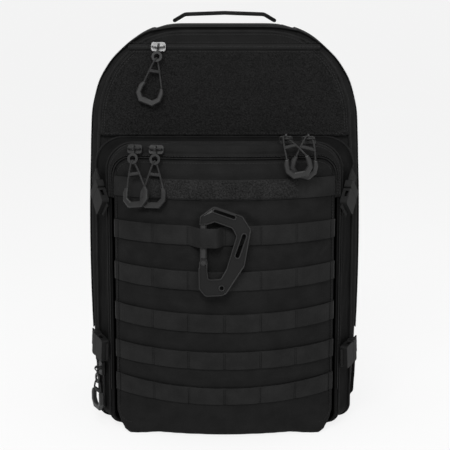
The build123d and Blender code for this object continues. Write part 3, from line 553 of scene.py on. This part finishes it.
def inflate(obj, pressure, cap, frames=18, held=None):
    """Cloth under pressure, with each point's move capped at cap mm. held tells which stay."""
    rest = [v.co.copy() for v in obj.data.vertices]
    cloth = obj.modifiers.new("cloth", "CLOTH")
    cloth.settings.quality = 4
    cloth.settings.mass = 0.25
    cloth.settings.tension_stiffness = 12
    cloth.settings.compression_stiffness = 12
    cloth.settings.shear_stiffness = 6
    cloth.settings.bending_stiffness = 0.6
    cloth.settings.use_pressure = True
    cloth.settings.uniform_pressure_force = pressure
    cloth.settings.effector_weights.gravity = 0
    cloth.collision_settings.use_collision = False
    cloth.collision_settings.use_self_collision = False
    cloth.point_cache.frame_start = 1
    cloth.point_cache.frame_end = frames
    if held:
        group = obj.vertex_groups.new(name="held")
        group.add([v.index for v in obj.data.vertices if held(v.co)], 1.0, "REPLACE")
        cloth.settings.vertex_group_mass = "held"
    for f in range(1, frames + 1):
        scene.frame_set(f)
    baked(obj)
    for v, home in zip(obj.data.vertices, rest):
        move = v.co - home
        if move.length > cap * MM:
            v.co = home + move.normalized() * cap * MM
    obj.vertex_groups.clear()
    scene.frame_set(1)
    return obj


def relief(obj, move):
    """Moves each point along its normal by move(point in mm, normal) mm."""
    normals = [n.vector.copy() for n in obj.data.vertex_normals]
    for v, n in zip(obj.data.vertices, normals):
        v.co += n * move(v.co / MM, n) * MM
    return obj


def smoother(obj, levels=1):
    sub = obj.modifiers.new("smooth", "SUBSURF")
    sub.levels = sub.render_levels = levels
    return baked(obj)


def creases(p, scale, amount, seed):
    """Soft folds: ridged noise, stretched along one way."""
    value = noise.noise(Vector((p.x / scale[0] + seed, p.y / scale[1], p.z / scale[2])))
    fine = noise.noise(Vector((p.x / scale[0] * 2.3, p.y / scale[1] * 2.3 + seed, p.z / scale[2] * 2.3)))
    return amount * (0.5 - abs(value) * 2 + 0.4 * fine)


def fold(p, x0, z0, x1, z1, width, height):
    """A straight fold on the front, from one point to another in (x, z), fading at its ends."""
    length = sqrt((x1 - x0) ** 2 + (z1 - z0) ** 2)
    ux, uz = (x1 - x0) / length, (z1 - z0) / length
    s = (p.x - x0) * ux + (p.z - z0) * uz
    d = abs((p.x - x0) * uz - (p.z - z0) * ux)
    if s < 0 or s > length or d > width:
        return 0.0
    return height * (cos(pi * d / width) + 1) / 2 * sin(pi * s / length)


def laid_on(cloth, points, off):
    """The points moved onto the nearest of the cloth pieces, off mm above it, then evened out."""
    graph = bpy.context.evaluated_depsgraph_get()
    trees = [BVHTree.FromObject(obj, graph) for obj in cloth]
    moved = []
    for point in points:
        spot, normal, _, _ = min((tree.find_nearest(point) for tree in trees), key=lambda hit: hit[3])
        moved.append(spot + normal * off * MM)
    for _ in range(2):
        inner = [(a + b * 2 + c) / 4 for a, b, c in zip(moved, moved[1:], moved[2:])]
        moved = [moved[0], *inner, moved[-1]]
    return moved


def ease(t):
    t = min(1.0, max(0.0, t))
    return t * t * (3 - 2 * t)


# ---- Main bag ----
def under_handle(p):
    """The top of the bag below the handle, where the cloth stays down so that the handle can rock."""
    return p.z > 425 and abs(p.x) < 80


def side_slack(p, n):
    """The bag's cloth wrinkles on its sides and top, and lies flat where it is sewn."""
    if p.y < BAG_FRONT + 14 or p.y > BAG_BACK - 12:
        return 0.0
    if under_handle(p):
        return -1.2
    hold = ease((p.y - BAG_FRONT - 14) / 22) * ease((BAG_BACK - 12 - p.y) / 22)
    low = ease((p.z - 72) / 15)
    return hold * low * creases(p, (70, 55, 38), 1.5, 3.1)


bag = soft_copy("bag_shell", ["main_compartment"], 4.0, 5, skin=True)
inflate(
    bag, 3.0, 3.2, 14, held=lambda c: c.y < -0.016 or c.y > 0.091 or c.z < 0.078 or under_handle(c / MM)
)
smoother(bag)
finished(relief(bag, side_slack), "pack_cloth", "pack", ["main_compartment"])

base = soft_copy("base_sheet", ["bottom_panel"], 0.9, 1)
finished(base, "pack_cloth", "pack", ["bottom_panel"])

panel = soft_copy("upper_front", ["upper_front_panel"], 2.2, 4)
relief(
    panel, lambda p,
    n: max(0.0, -n.y) * (creases(p, (55, 40, 16), 0.35, 8.2) + 0.2 * ease((p.z - 424) / 8))
)
finished(panel, "pack_cloth", "pack", ["upper_front_panel"])

pile = soft_copy("loop_pile_field", ["loop_field"], 1.3, 2)
relief(pile, lambda p, n: 0.35 * noise.noise(p / 1.7) + 0.25 * noise.noise(p / 6) if n.y < -0.3 else 0.0)
finished(pile, "loop_pile", "pack", ["loop_field"])

# Welt that runs round the bag where its front and its sides meet
welt = Build()
rim = [at(x, lean_y(max(z, PANEL_FOOT_Z), 1.4), z) for x, z in bag_outline(-8.2) if z > 20]
welt.sweep(frames_along(laid_on([bag, panel], rim, 0.5), Vector((0, -1, 0))), lambda i: ring(1.9))
rear_rim = [at(x, BAG_BACK - 1.5, z) for x, z in bag_outline(-3.6) if z > 6]
welt.sweep(frames_along(laid_on([bag], rear_rim, 0.4), Vector((0, -1, 0))), lambda i: ring(1.8))
finished(welt.object("bag_welts"), "strap", "pack")

# Zips of the upper pocket and round the bag
tapes, coils = Build(), Build()
zip_line = [at(x, lean_y(421.6, 3.8), 421.6) for x in range(-106, 107, 4)]
zip_run(tapes, coils, zip_line, LEAN_OUT, 6.0)
finished(tapes.object("top_zip_tape"), "zip_tape", "pack", ["top_zip"])
finished(coils.object("top_zip_coil"), "zip_coil", "pack")

GUSSET_RUN = Vector((TRAY_BACK_HALF - TRAY_FRONT_HALF, TRAY_FRONT - TRAY_BACK, 0)).normalized()
GUSSET_OUT = Vector((GUSSET_RUN.y, -GUSSET_RUN.x, 0))


def on_gusset(side, run, height, off):
    """Point on the left (-1) or right (1) gusset, run mm behind its front edge."""
    p = Vector((-124.0, TRAY_FRONT, 0)) - GUSSET_RUN * run + GUSSET_OUT * off
    return at(p.x * -side, p.y, height)


tapes, coils = Build(), Build()
around = bag_outline(0.25)
line = [at(x, -7.0, z) for x, z in around if z > 100]
outs = []
for i, point in enumerate(line):
    along = line[min(i + 1, len(line) - 1)] - line[max(i - 1, 0)]
    outs.append(Vector((-along.z, 0, along.x)).normalized())
zip_run(tapes, coils, laid_on([bag], line, 0.1), outs, 9.0)
side_zip = [on_gusset(-1, 29, z, 0.3) for z in range(15, 70, 3)]
zip_run(tapes, coils, side_zip, GUSSET_OUT, 5.6)
finished(tapes.object("gusset_zip_tapes"), "zip_tape", "pack", ["gusset_zips"])
finished(coils.object("gusset_zip_coils"), "zip_coil", "pack")

pockets = soft_copy("bottle_pockets", ["side_pockets"], 1.2, 3)
relief(
    pockets, lambda p,
    n: max(0.0, abs(n.x) - 0.2) * (
        creases(p, (40, 18, 40), 0.5, 5.5) + (3.0 if p.x > 0 else -1.2)
    ) * ease((p.z - 14) / 8) * ease((70 - p.z) / 6)
)
finished(pockets, "pack_cloth_painted_shade", "pack", ["side_pockets"])
hems = Build()
for side in (-1, 1):
    x = [a for a, z in bag_outline(2.0) if abs(z - 69) < 4 and a > 0][0]
    hem = [at(side * x, y, 69.5) for y in range(7, 78, 3)]
    hems.sweep(frames_along(hem, Vector((side, 0, 0))), lambda i: slab(8.0, 2.2, -0.5))
finished(hems.object("bottle_pocket_hems"), "strap", "pack")

# ---- Middle compartment: a lofted cloth tray, its mouth towards the front ----
def tray_ring(y, grow):
    """Rounded rectangle of the middle compartment at depth y, moved outwards by grow."""
    t = (y - TRAY_BACK) / (TRAY_FRONT - TRAY_BACK)
    half = TRAY_BACK_HALF + (TRAY_FRONT_HALF - TRAY_BACK_HALF) * t + grow
    top = 322.6 - 3.0 * t + grow
    floor = 3.0 + 2.0 * t - grow
    high, low = 30.0 + grow, 12.0 + grow
    pts = []
    for sx, corner, start in ((1, high, 0), (-1, high, 90), (-1, low, 180), (1, low, 270)):
        cx = sx * (half - corner)
        cz = top - corner if start < 180 else floor + corner
        for i in range(13):
            a = radians(start + 90 * i / 12)
            pts.append((cx + corner * cos(a), cz + corner * sin(a)))
        nx, nz = {0: (-1, 0), 90: (0, -1), 180: (1, 0), 270: (0, 1)}[start]
        run = 2 * (half - corner) if nx else top - floor - high - low
        count = 60
        ex, ez = pts[-1]
        pts += [(ex + nx * run * i / count, ez + nz * run * i / count) for i in range(1, count)]
    return pts


def tray_mesh():
    verts, faces, rows = [], [], []
    outside = [(TRAY_BACK - 41.4 * i / 14, 0.0) for i in range(15)]
    inside = [(TRAY_FRONT + 0.6, -1.1)] + [(TRAY_FRONT + 1.5 + 37.4 * i / 12, -2.2) for i in range(13)]
    for y, grow in outside + inside:
        rows.append(len(verts))
        for x, z in tray_ring(y, grow):
            verts.append(at(x, y, z))
    count = len(tray_ring(TRAY_BACK, 0.0))
    for a, b in zip(rows, rows[1:]):
        for k in range(count):
            n = (k + 1) % count
            faces.append((a + k, a + n, b + n, b + k))
    faces.append(tuple(range(rows[0], rows[0] + count)))
    faces.append(tuple(reversed(range(rows[-1], rows[-1] + count))))
    return piece("tray_shell", verts, faces)


def tray_slack(p, n):
    depth = (TRAY_BACK - p.y) / (TRAY_BACK - TRAY_FRONT)
    if depth < 0.04 or depth > 0.97 or abs(n.y) > 0.95:
        return 0.0
    hold = ease(depth / 0.2) * ease((0.97 - depth) / 0.25)
    quiet = 0.35 if p.z > 300 or p.z < 20 else 1.0
    out = hold * quiet * (creases(p, (60, 16, 46), 1.1, 1.7) - 0.5)
    return out if (n.x * p.x > 0 or abs(n.z) > 0.6) else 0.0


tray = tray_mesh()
tidy = bmesh.new()
tidy.from_mesh(tray.data)
bmesh.ops.recalc_face_normals(tidy, faces=tidy.faces)
tidy.to_mesh(tray.data)
tidy.free()
finished(relief(tray, tray_slack), "pack_cloth_painted_shade", "pack", ["middle_tray"])

tapes, coils = Build(), Build()
mouth = [p for p in tray_ring(TRAY_FRONT + 3, 0.1)]
start = min(range(len(mouth)), key=lambda i: abs(mouth[i][0] - 124) + abs(mouth[i][1] - 44))
mouth = mouth[start:] + mouth[:start]
mouth = [p for p in mouth if p[1] >= mouth[0][1] - 0.01]
line = [at(x, TRAY_FRONT + 3.2, z) for x, z in mouth]
outs = []
for i, point in enumerate(line):
    along = line[min(i + 1, len(line) - 1)] - line[max(i - 1, 0)]
    outs.append(Vector((along.z, 0, -along.x)).normalized())
tapes.sweep(frames_along(line, outs), lambda i: slab(5.4, 0.8, 0.0))
for point, along, out in resample(line, outs, 1.5):
    out = (out - along * out.dot(along)).normalized()
    coils.slug(point + out * 0.0006 + Vector((0, -0.0014, 0)), along.cross(out), out, 2.4, 0.9, 0.7)
finished(tapes.object("middle_zip_tape"), "zip_tape", "pack", ["middle_zip"])
finished(coils.object("middle_zip_coil"), "zip_coil", "pack")

# Welts down the gussets
welt = Build()
for y, grow, size in ((TRAY_BACK - 2.5, 0.9, 1.3), (TRAY_FRONT + 8.5, 0.6, 1.0)):
    loop = [at(x, y, z) for x, z in tray_ring(y, grow)]
    welt.sweep(frames_along(loop + loop[:1], Vector((0, -1, 0))), lambda i: ring(size))
finished(welt.object("tray_welts"), "strap", "pack")

# ---- Front section ----
def face_slack(p, n):
    """Between the webbing rows the cloth stands a little proud; folds run from the corners."""
    if n.y > -0.45 or p.y > FACE_EDGE + 4:
        return 0.0
    room = min(abs(p.z - z) - 10.5 for z in ROW_LEVELS + (275.5,))
    free = ease(room / 7)
    edge = ease((116 - abs(p.x)) / 10) * ease((300 - p.z) / 9) * ease((p.z - 12) / 10)
    folds = fold(p, -112, 216, -92, 196, 8, 2.0) + fold(p, 112, 216, 92, 200, 8, 1.8)
    folds += fold(p, 14, 262, 44, 238, 9, 2.0) + fold(p, -36, 214, -66, 198, 8, 1.5)
    folds += fold(p, 30, 217, 78, 194, 8, 1.6)
    folds += fold(p, -110, 255, -60, 243, 8, 2.2) + fold(p, 112, 259, 66, 244, 7, 1.9)
    folds += fold(p, 116, 300, 98, 288, 6, 0.9) + fold(p, -116, 300, -100, 290, 6, 0.9)
    return edge * free * (0.6 + 1.5 * folds + creases(p, (52, 60, 11), 1.1, 2.2)) - 0.2 * (1 - free)


def settle(obj):
    """The load sinks, so the pocket's lower corners fill out forwards and sideways."""
    for v in obj.data.vertices:
        x, y, z = v.co / MM
        give = ease((abs(x) - 70) / 34) * ease((40 - z) / 36) * ease((SECTION_REAR - 3 - y) / 10)
        v.co += Vector((3.0 if x > 0 else -3.0, -7.0, -3.5)) * give * MM
        v.co.z = max(v.co.z, 0.6 * MM)
    return obj


pocket = soft_copy("front_face", ["front_pocket"], 2.6, 5, skin=True)
relief(settle(pocket), face_slack)
finished(smoother(pocket), "pack_cloth", "front_section", ["front_pocket"])

def from_arch(x, z, half, top, corner):
    """Distance from an arch's line, outside it positive."""
    dx, dz = abs(x) - half + corner, z - top + corner
    if dx > 0 and dz > 0:
        return sqrt(dx * dx + dz * dz) - corner
    return max(dx, dz) - corner


def flap_slack(p, n):
    """The flap's band is stuffed, with a sunk seam along its middle."""
    if n.z > 0.5:
        return 0.3 * creases(p, (30, 14, 14), 0.8, 4.4)
    seam = from_arch(p.x, p.z, 124.2, 312.6, 25.0)
    return max(0.0, -n.y) * (creases(p, (24, 30, 16), 0.3, 6.4) - 0.9 * 2.7 ** (-((seam / 0.9) ** 2)))


flap = soft_copy("storm_flap_band", ["storm_flap"], 1.1, 5)
relief(flap, flap_slack)
finished(flap, "pack_cloth", "front_section", ["storm_flap"])

coils, tapes = Build(), Build()
path = arch(121.3, POCKET_TOP + 1.4, 21.4, 262.0)
line = [at(x, face_y(x, z, -1.4), z) for x, z in path]
outs = [face_normal(x * 0.97, z) for x, z in path]
tapes.sweep(frames_along(line, outs), lambda i: slab(2.0, 0.9, -0.9))
for point, along, out in resample(line, outs, 1.5):
    out = (out - along * out.dot(along)).normalized()
    coils.slug(point - out * 0.0002, along.cross(out), out, 1.9, 0.9, 0.6)
finished(tapes.object("front_zip_tape"), "zip_tape", "front_section", ["front_zip"])
finished(coils.object("front_zip_coil"), "zip_coil", "front_section")


# Behind the zip a tape joins the flap to the pocket, and a hinge of cloth joins the section to the tray
backing = Build()
path = arch(122.8, POCKET_TOP + 2.8, 23.0, 262.0)
line = [at(x, SECTION_REAR - 0.2, z) for x, z in path]
backing.sweep(frames_along(line, Vector((0, -1, 0))), lambda i: slab(7.6, 0.6))
finished(backing.object("flap_backing"), "zip_tape", "front_section")
hinge = Build()
line = [at(0, SECTION_REAR + 0.2, 2.0 + 18.0 * i / 18) for i in range(19)]
hinge.sweep(frames_along(line, Vector((0, -1, 0))), lambda i: slab(196.0, 0.5))
hinge = hinge.object("hinge_cloth")
finished(hinge, "pack_cloth_painted_shade", None)
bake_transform(hinge)


def lifted(x):
    """How far the first row stands off the face at x: it loops over the carabiner."""
    if -STITCH < x < 0:
        return LIFT + (TUNNEL + 0.25 - LIFT) * ease((x + STITCH) / 14.0) * ease(-x / 9.0)
    return LIFT


def webbing_row(build, z, width, thick, left, right, low, cell, puff, sag=0.0):
    """Webbing across the face, sewn down every cell mm, a little proud between."""
    stations = []
    count = int((right - left) / 1.6)
    for i in range(count + 1):
        x = left + (right - left) * i / count
        near = min(abs(x - cell * k) for k in range(-3, 4)) if cell else 20.0
        rise = puff * ease(near / 9)
        pinch = 0.45 * (1 - ease(near / 1.6))
        end = 0.5 * ease((4 - min(x - left, right - x)) / 4)
        base = low(x) + rise * 0.6
        stations.append((x, base, thick - pinch - end + rise * 0.4))
    rows = []
    for x, base, t in stations:
        rows.append(len(build.verts))
        for a, b in slab(width, t):
            level = z + a + sag * ((x / FACE_HALF) ** 2 - 0.4)
            n = face_normal(min(max(x, -117), 117), level)
            foot = at(x, face_y(x, level), level)
            if low is lifted and -STITCH < x < 0:
                n = face_normal(-STITCH / 2, z)
                chord = face_y(-STITCH, level) + (
                    face_y(0, level) - face_y(-STITCH, level)
                ) * (x + STITCH) / STITCH
                mix = ease((x + STITCH) / 4) * ease(-x / 4)
                foot = at(x, face_y(x, level) * (1 - mix) + chord * mix, level)
                build.verts.append(foot + Vector((0, -1, 0)) * (base + b) * MM)
            else:
                build.verts.append(foot + n * (base + b) * MM)
            build.uvs.append((x * MM, a * MM))
    sides = len(slab(width, thick))
    for a, b in zip(rows, rows[1:]):
        for k in range(sides):
            n = (k + 1) % sides
            build.faces.append((a + k, a + n, b + n, b + k))
    build.faces.append(tuple(rows[0] + k for k in reversed(range(sides))))
    build.faces.append(tuple(rows[-1] + k for k in range(sides)))


def flat(x):
    return LIFT


rows = Build()
webbing_row(rows, ROW_LEVELS[0], 20.0, WEBBING, -FACE_HALF, FACE_HALF, lifted, STITCH, 0.5)
for level, sag in zip(ROW_LEVELS[1:], ROW_SAGS[1:]):
    webbing_row(rows, level, 20.0, WEBBING, -FACE_HALF, FACE_HALF, flat, STITCH, 0.5, sag)
finished(rows.object("webbing_rows"), "webbing", "front_section", ["molle_rows"])

# Bar tacks across the webbing, in pairs, and the rows' end seams
tacks = Build()
for row, sag in zip(ROW_LEVELS, ROW_SAGS):
    for k in range(-3, 4):
        level = row + sag * ((STITCH * k / FACE_HALF) ** 2 - 0.4)
        for shift in ((-0.9, 0.9) if abs(k) < 3 else (0.0,)):
            x = STITCH * k + shift
            high = WEBBING + 0.15
            points = [
                at(x, face_y(x, z), z) + face_normal(x, z) * (LIFT + high - 0.5) * MM for z in (
                    level - 9.4, level, level + 9.4
                )
            ]
            sew(tacks, points, face_normal(x, level), 2.0, 1.7)
for side in (-1, 1):
    x = side * 116.4
    points = [at(x, face_y(x, z, 0.25), z) for z in range(30, 296, 5)]
    sew(tacks, points, face_normal(x, 160), 3.0, 2.2)
finished(tacks.object("row_stitches"), "dark_thread", "front_section")

strip = Build()
webbing_row(strip, 275.5, 21.0, 0.9, -FACE_HALF, FACE_HALF, flat, 0, 0.1)
finished(strip.object("name_strip_webbing"), "webbing", "front_section", ["name_strip"])
strip = Build()
webbing_row(strip, 275.5, 19.6, 1.3, -78.0, 78.0, lambda x: LIFT + 0.9, 0, 0.1)
patch = strip.object("name_strip_pile")
patch.modifiers.new("even", "REMESH").voxel_size = 0.0009
baked(patch)
relief(patch, lambda p, n: 0.3 * noise.noise(p / 1.6) if n.y < -0.3 else 0.0)
finished(patch, "strip_pile", "front_section")

# Seams of the flap, the upper panel and the pocket
seams = Build()
path = arch(125.0, 318.8, 30.0, 264.0)
sew(seams, [at(x, face_y(x, z, 1.15), z) for x, z in path], [face_normal(x * 0.96, z) for x, z in path])
path = arch(122.9, 309.4, 22.9, 264.0)
sew(seams, [at(x, face_y(x, z, 1.15), z) for x, z in path], [face_normal(x * 0.96, z) for x, z in path])
path = arch(117.4, 302.6, 18.0, 12.0, foot=16.0)
line = laid_on([pocket], [at(x, face_y(x, z, 0.3), z) for x, z in path], 0.1)
sew(seams, line, [face_normal(x * 0.96, z) for x, z in path])
finished(seams.object("section_seams"), "thread", "front_section")

seams = Build()
for z in (416.2, 426.8):
    sew(seams, [at(x, lean_y(z, 3.9 if z > 420 else 5.5), z) for x in range(-104, 105, 8)], LEAN_OUT)
path = [(x, z) for x, z in bag_outline(-12.0) if z > PANEL_FOOT_Z + 4]
sew(seams, [at(x, lean_y(z, 4.0), z) for x, z in path], LEAN_OUT)
path = [(x, z) for x, z in bag_outline(-14.6) if PANEL_FOOT_Z + 5 < z < 414]
for side in (-1, 1):
    part = [(x, z) for x, z in path if x * side > 0]
    sew(seams, [at(x, lean_y(z, 5.5), z) for x, z in part], LEAN_OUT)
sew(seams, [at(x, lean_y(327.5, 5.5), 327.5) for x in range(-132, 133, 6)], LEAN_OUT)
finished(seams.object("panel_seams"), "thread", "pack")

# ---- Handle, straps and harness ----
handle = soft_copy("handle_arch", ["grab_handle"], 0.7, 4)
finished(handle, "webbing", "handle", ["grab_handle"])

for name, node, voxel in (
    ("compression_tab_webbing", "compression_tabs", 0.5),
    ("compression_strap_webbing", "compression_straps", 0.5),
    ("harness_webbing", "strap_webbing", 0.6),
    ("chest_webbing", "sternum_webbing", 0.5),
):
    finished(soft_copy(name, [node], voxel, 2), "strap", "pack", [node])

back = soft_copy("back_cloth", ["back_panel"], 3.2, 4)
finished(
    relief(back, lambda p, n: max(0.0, n.y) * creases(p, (70, 40, 60), 0.5, 9.0)), "spacer_mesh", "pack",
    ["back_panel"]
)

pads = soft_copy("back_cushions", ["back_pads"], 3.0, 6)
inflate(pads, 4.0, 2.6, 16, held=lambda c: c.y < 0.103)
finished(smoother(pads), "spacer_mesh", "pack", ["back_pads"])

for side in ("left", "right"):
    node = f"shoulder_strap_{side}"
    pad = soft_copy(f"{node}_pad", [node], 2.6, 6)
    inflate(pad, 3.0, 2.0, 16, held=lambda c: c.y < 0.1155)
    finished(smoother(pad), "spacer_mesh", "pack", [node])

# ---- Hard parts keep their CAD shape, with softened edges ----
def dress(node, finish, edge=0.35):
    obj = NODES[node]
    obj.data.materials.clear()
    obj.data.materials.append(M[finish])
    if edge:
        bevel = obj.modifiers.new("edge", "BEVEL")
        bevel.width = edge * MM
        bevel.segments = 2
        bevel.limit_method = "ANGLE"
        bevel.angle_limit = radians(40)
        bevel.use_clamp_overlap = True


PLACES = ("top", "outer_left", "inner_left", "inner_right", "outer_right", "side")
for place in PLACES:
    dress(f"slider_{place}", "bright_metal" if place == "top" else "black_metal", 0.3)
    dress(f"tab_{place}", "black_metal", 0.25)
    dress(f"grip_{place}", "grip_rubber", 0.3)
for node in (
    "compression_sockets", "sternum_socket", "sternum_plug", "ladder_locks",
    *(f"plug_{p}" for p in ("upper_left", "upper_right", "lower_left", "lower_right"))
):
    dress(node, "buckle_plastic", 0.5)
dress("carabiner_gate", "carabiner_plastic", 0.4)
dress("carabiner_pin", "steel", 0.2)
dress("carabiner_spring", "steel", 0.1)
dress("frame_sheet", "sheet_plastic", 0.4)

# Carabiner: both faces are sunk between raised rims
HOOK_X, HOOK_Z, HOOK_OFF, HOOK_LEAN = -22.0, 229.0, 8.4, radians(9.5)
HOOK_OUT = Vector((0, -cos(HOOK_LEAN), sin(HOOK_LEAN)))
HOOK_UP = Vector((0, sin(HOOK_LEAN), cos(HOOK_LEAN)))
HOOK_AT = at(HOOK_X, face_y(HOOK_X, HOOK_Z) - HOOK_OFF, HOOK_Z)
bm = bmesh.new()
bm.from_mesh(NODES["carabiner_body"].data)
bmesh.ops.remove_doubles(bm, verts=bm.verts, dist=1e-6)
bmesh.ops.dissolve_limit(bm, angle_limit=radians(1), verts=bm.verts, edges=bm.edges)
bmesh.ops.triangulate(bm, faces=bm.faces, quad_method="BEAUTY", ngon_method="BEAUTY")
for sign in (1, -1):
    plate = [
        f for f in bm.faces if f.normal.dot(HOOK_OUT * sign) > 0.999 and (
            f.calc_center_median() - HOOK_AT
        ).dot(HOOK_OUT * sign) > 3.6 * MM
    ]
    bmesh.ops.inset_region(
        bm, faces=plate, thickness=1.15 * MM, depth=0, use_even_offset=False, use_boundary=True
    )
    bmesh.ops.inset_region(
        bm, faces=plate, thickness=0.35 * MM, depth=-0.85 * MM, use_even_offset=False, use_boundary=True
    )
mesh = bpy.data.meshes.new("carabiner_frame")
bm.to_mesh(mesh)
bm.free()
hook = bpy.data.objects.new("carabiner_frame", mesh)
scene.collection.objects.link(hook)
bevel = hook.modifiers.new("edge", "BEVEL")
bevel.width, bevel.segments, bevel.limit_method, bevel.angle_limit = 0.3 * MM, 2, "ANGLE", radians(35)
baked(hook)
finished(hook, "carabiner_plastic", "carabiner", ["carabiner_body"], smooth=False)
# The sunk floors of both faces take the darker finish, painted shade in the recess
hook.data.materials.append(M["carabiner_recess_painted_shade"])
for face in hook.data.polygons:
    depth = abs((face.center - HOOK_AT).dot(HOOK_OUT)) / MM
    if abs(face.normal.dot(HOOK_OUT)) > 0.99 and 2.4 < depth < 3.3:
        face.material_index = 1


def on_hook(a, b, off=0.0):
    return HOOK_AT + Vector((a * MM, 0, 0)) + HOOK_UP * b * MM + HOOK_OUT * off * MM


# Fine grip notches down the carabiner's outer edge
notches = Build()
for i in range(13):
    a, b = 48.6 - 5.6 * i / 12, 4.0 - 31 * i / 12
    notches.slug(
        on_hook(a - 0.2, b, -2.4) + HOOK_OUT * 2.4 * MM, HOOK_OUT, Vector((0.98, 0, 0)) - HOOK_UP * 0.17,
        6.2, 1.2, 0.5
    )
finished(notches.object("carabiner_notches"), "carabiner_plastic", "carabiner")

# ---- Pull cords: a NURBS line on the design's route, from one arm of the grip to the other ----
CORDS = {
    "top": (
        (-0.0889, -0.0266, 0.3837), (-0.0764, -0.0246, 0.4104), (-0.0733, -0.0198, 0.4091),
        (-0.0694, -0.0279, 0.3760)
    ),
    "outer_left": (
        (-0.1035, -0.0956, 0.2761), (-0.0999, -0.0935, 0.3059), (-0.0955, -0.0897, 0.3046),
        (-0.0845, -0.1040, 0.2789)
    ),
    "inner_left": (
        (-0.0849, -0.0973, 0.2766), (-0.0759, -0.0977, 0.3055), (-0.0718, -0.0936, 0.3046),
        (-0.0651, -0.1046, 0.2774)
    ),
    "inner_right": (
        (0.0657, -0.1045, 0.3078), (0.0610, -0.0938, 0.3302), (0.0644, -0.0862, 0.3310),
        (0.0676, -0.0862, 0.3260), (0.0710, -0.0938, 0.3268), (0.0863, -0.1045, 0.3122)
    ),
    "outer_right": (
        (0.0757, -0.0968, 0.3102), (0.0850, -0.0938, 0.3302), (0.0884, -0.0862, 0.3310),
        (0.0916, -0.0862, 0.3260), (0.0950, -0.0938, 0.3268), (0.0963, -0.0968, 0.3058)
    ),
    "side": (
        (-0.1487, -0.0337, 0.0360), (-0.1472, -0.0428, 0.0486), (-0.1413, -0.0436, 0.0486),
        (-0.1398, -0.0527, 0.0360)
    ),
}
for place, route in CORDS.items():
    curve = bpy.data.curves.new(f"pull_cord_{place}", "CURVE")
    curve.dimensions = "3D"
    curve.bevel_depth = 1.0 * MM
    curve.bevel_resolution = 3
    curve.resolution_u = 24
    spline = curve.splines.new("NURBS")
    spline.points.add(len(route) - 1)
    for point, place_at in zip(spline.points, route):
        point.co = (*place_at, 1)
    spline.order_u = 3
    spline.use_endpoint_u = True
    strand = bpy.data.objects.new(f"pull_cord_{place}", curve)
    scene.collection.objects.link(strand)
    curve.materials.append(M["pull_cord"])
    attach(strand, f"pull_{place}")
    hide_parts(f"cord_{place}")
    graph = bpy.context.evaluated_depsgraph_get()
    bare = curve.copy()
    bare.bevel_depth = 0
    ruler = bpy.data.objects.new("ruler", bare)
    scene.collection.objects.link(ruler)
    graph.update()
    line = bpy.data.meshes.new_from_object(ruler.evaluated_get(bpy.context.evaluated_depsgraph_get()))
    points = [v.co.copy() for v in line.vertices]
    bpy.data.objects.remove(ruler)
    # Whipping that holds the two strands together under the ring
    middle = [p for p in points if (p - points[len(points) // 2]).length < 0.016]
    pair = (middle[0] + middle[-1]) / 2
    tie = Build()
    across = (middle[0] - middle[-1]).normalized()
    down = (pair - points[len(points) // 2]).normalized()
    out = across.cross(down).normalized()
    gap = (middle[0] - middle[-1]).length / MM / 2 + 1.15
    tie.sweep(
        [(pair + down * s * MM, across, out) for s in (-1.6, -0.8, 0, 0.8, 1.6)],
        lambda i: [(gap * cos(2 * pi * k / 14), 1.35 * sin(2 * pi * k / 14)) for k in range(14)]
    )
    finished(tie.object(f"whipping_{place}"), "pull_cord", f"pull_{place}")

# ---- Camera, lights and floor ----
camera = bpy.data.objects.new("camera", bpy.data.cameras.new("camera"))
scene.collection.objects.link(camera)
camera.location = (0, -1.45, 0.48)
camera.rotation_euler = (radians(90 - 10.2), 0, 0)
camera.data.sensor_width = 36
camera.data.lens = 102.96
camera.data.shift_x = 0.0011
scene.camera = camera

floor = piece(
    "floor",
    [(-6, -3, 0), (6, -3, 0), (6, 4, 0), (-6, 4, 0), (-6, 6, 0.6), (6, 6, 0.6), (-6, 7, 5), (6, 7, 5)],
    [(0, 1, 2, 3), (3, 2, 5, 4), (4, 5, 7, 6)]
)
for v in floor.data.vertices:
    v.co.z -= 0.0004
ground, nodes, links = new_material("studio_floor")
nodes["Principled BSDF"].inputs["Base Color"].default_value = (0.12, 0.12, 0.12, 1)
nodes["Principled BSDF"].inputs["Emission Color"].default_value = (1, 1, 1, 1)
nodes["Principled BSDF"].inputs["Emission Strength"].default_value = 0.845
nodes["Principled BSDF"].inputs["Roughness"].default_value = 0.95
nodes["Principled BSDF"].inputs["Specular IOR Level"].default_value = 0.0
floor.data.materials.append(ground)


def soft_light(name, place, aim, size, power):
    light = bpy.data.lights.new(name, "AREA")
    light.shape = "RECTANGLE"
    light.size, light.size_y = size
    light.energy = power
    lamp = bpy.data.objects.new(name, light)
    scene.collection.objects.link(lamp)
    lamp.location = place
    lamp.rotation_euler = (Vector(aim) - Vector(place)).to_track_quat("-Z", "Y").to_euler()
    return lamp


soft_light("key", (-0.45, -2.1, 1.9), (0, 0, 0.26), (1.3, 0.9), 46)
soft_light("fill", (0.8, -2.2, 0.9), (0, 0, 0.2), (1.0, 1.2), 14)
soft_light("top", (0, -0.2, 2.2), (0, 0, 0.2), (1.4, 0.9), 18)

world = bpy.data.worlds.new("studio")
scene.world = world
world.use_nodes = True
world.node_tree.nodes["Background"].inputs["Color"].default_value = (1, 1, 1, 1)
world.node_tree.nodes["Background"].inputs["Strength"].default_value = 0.26
scene.view_settings.view_transform = "Standard"
scene.view_settings.look = "None"
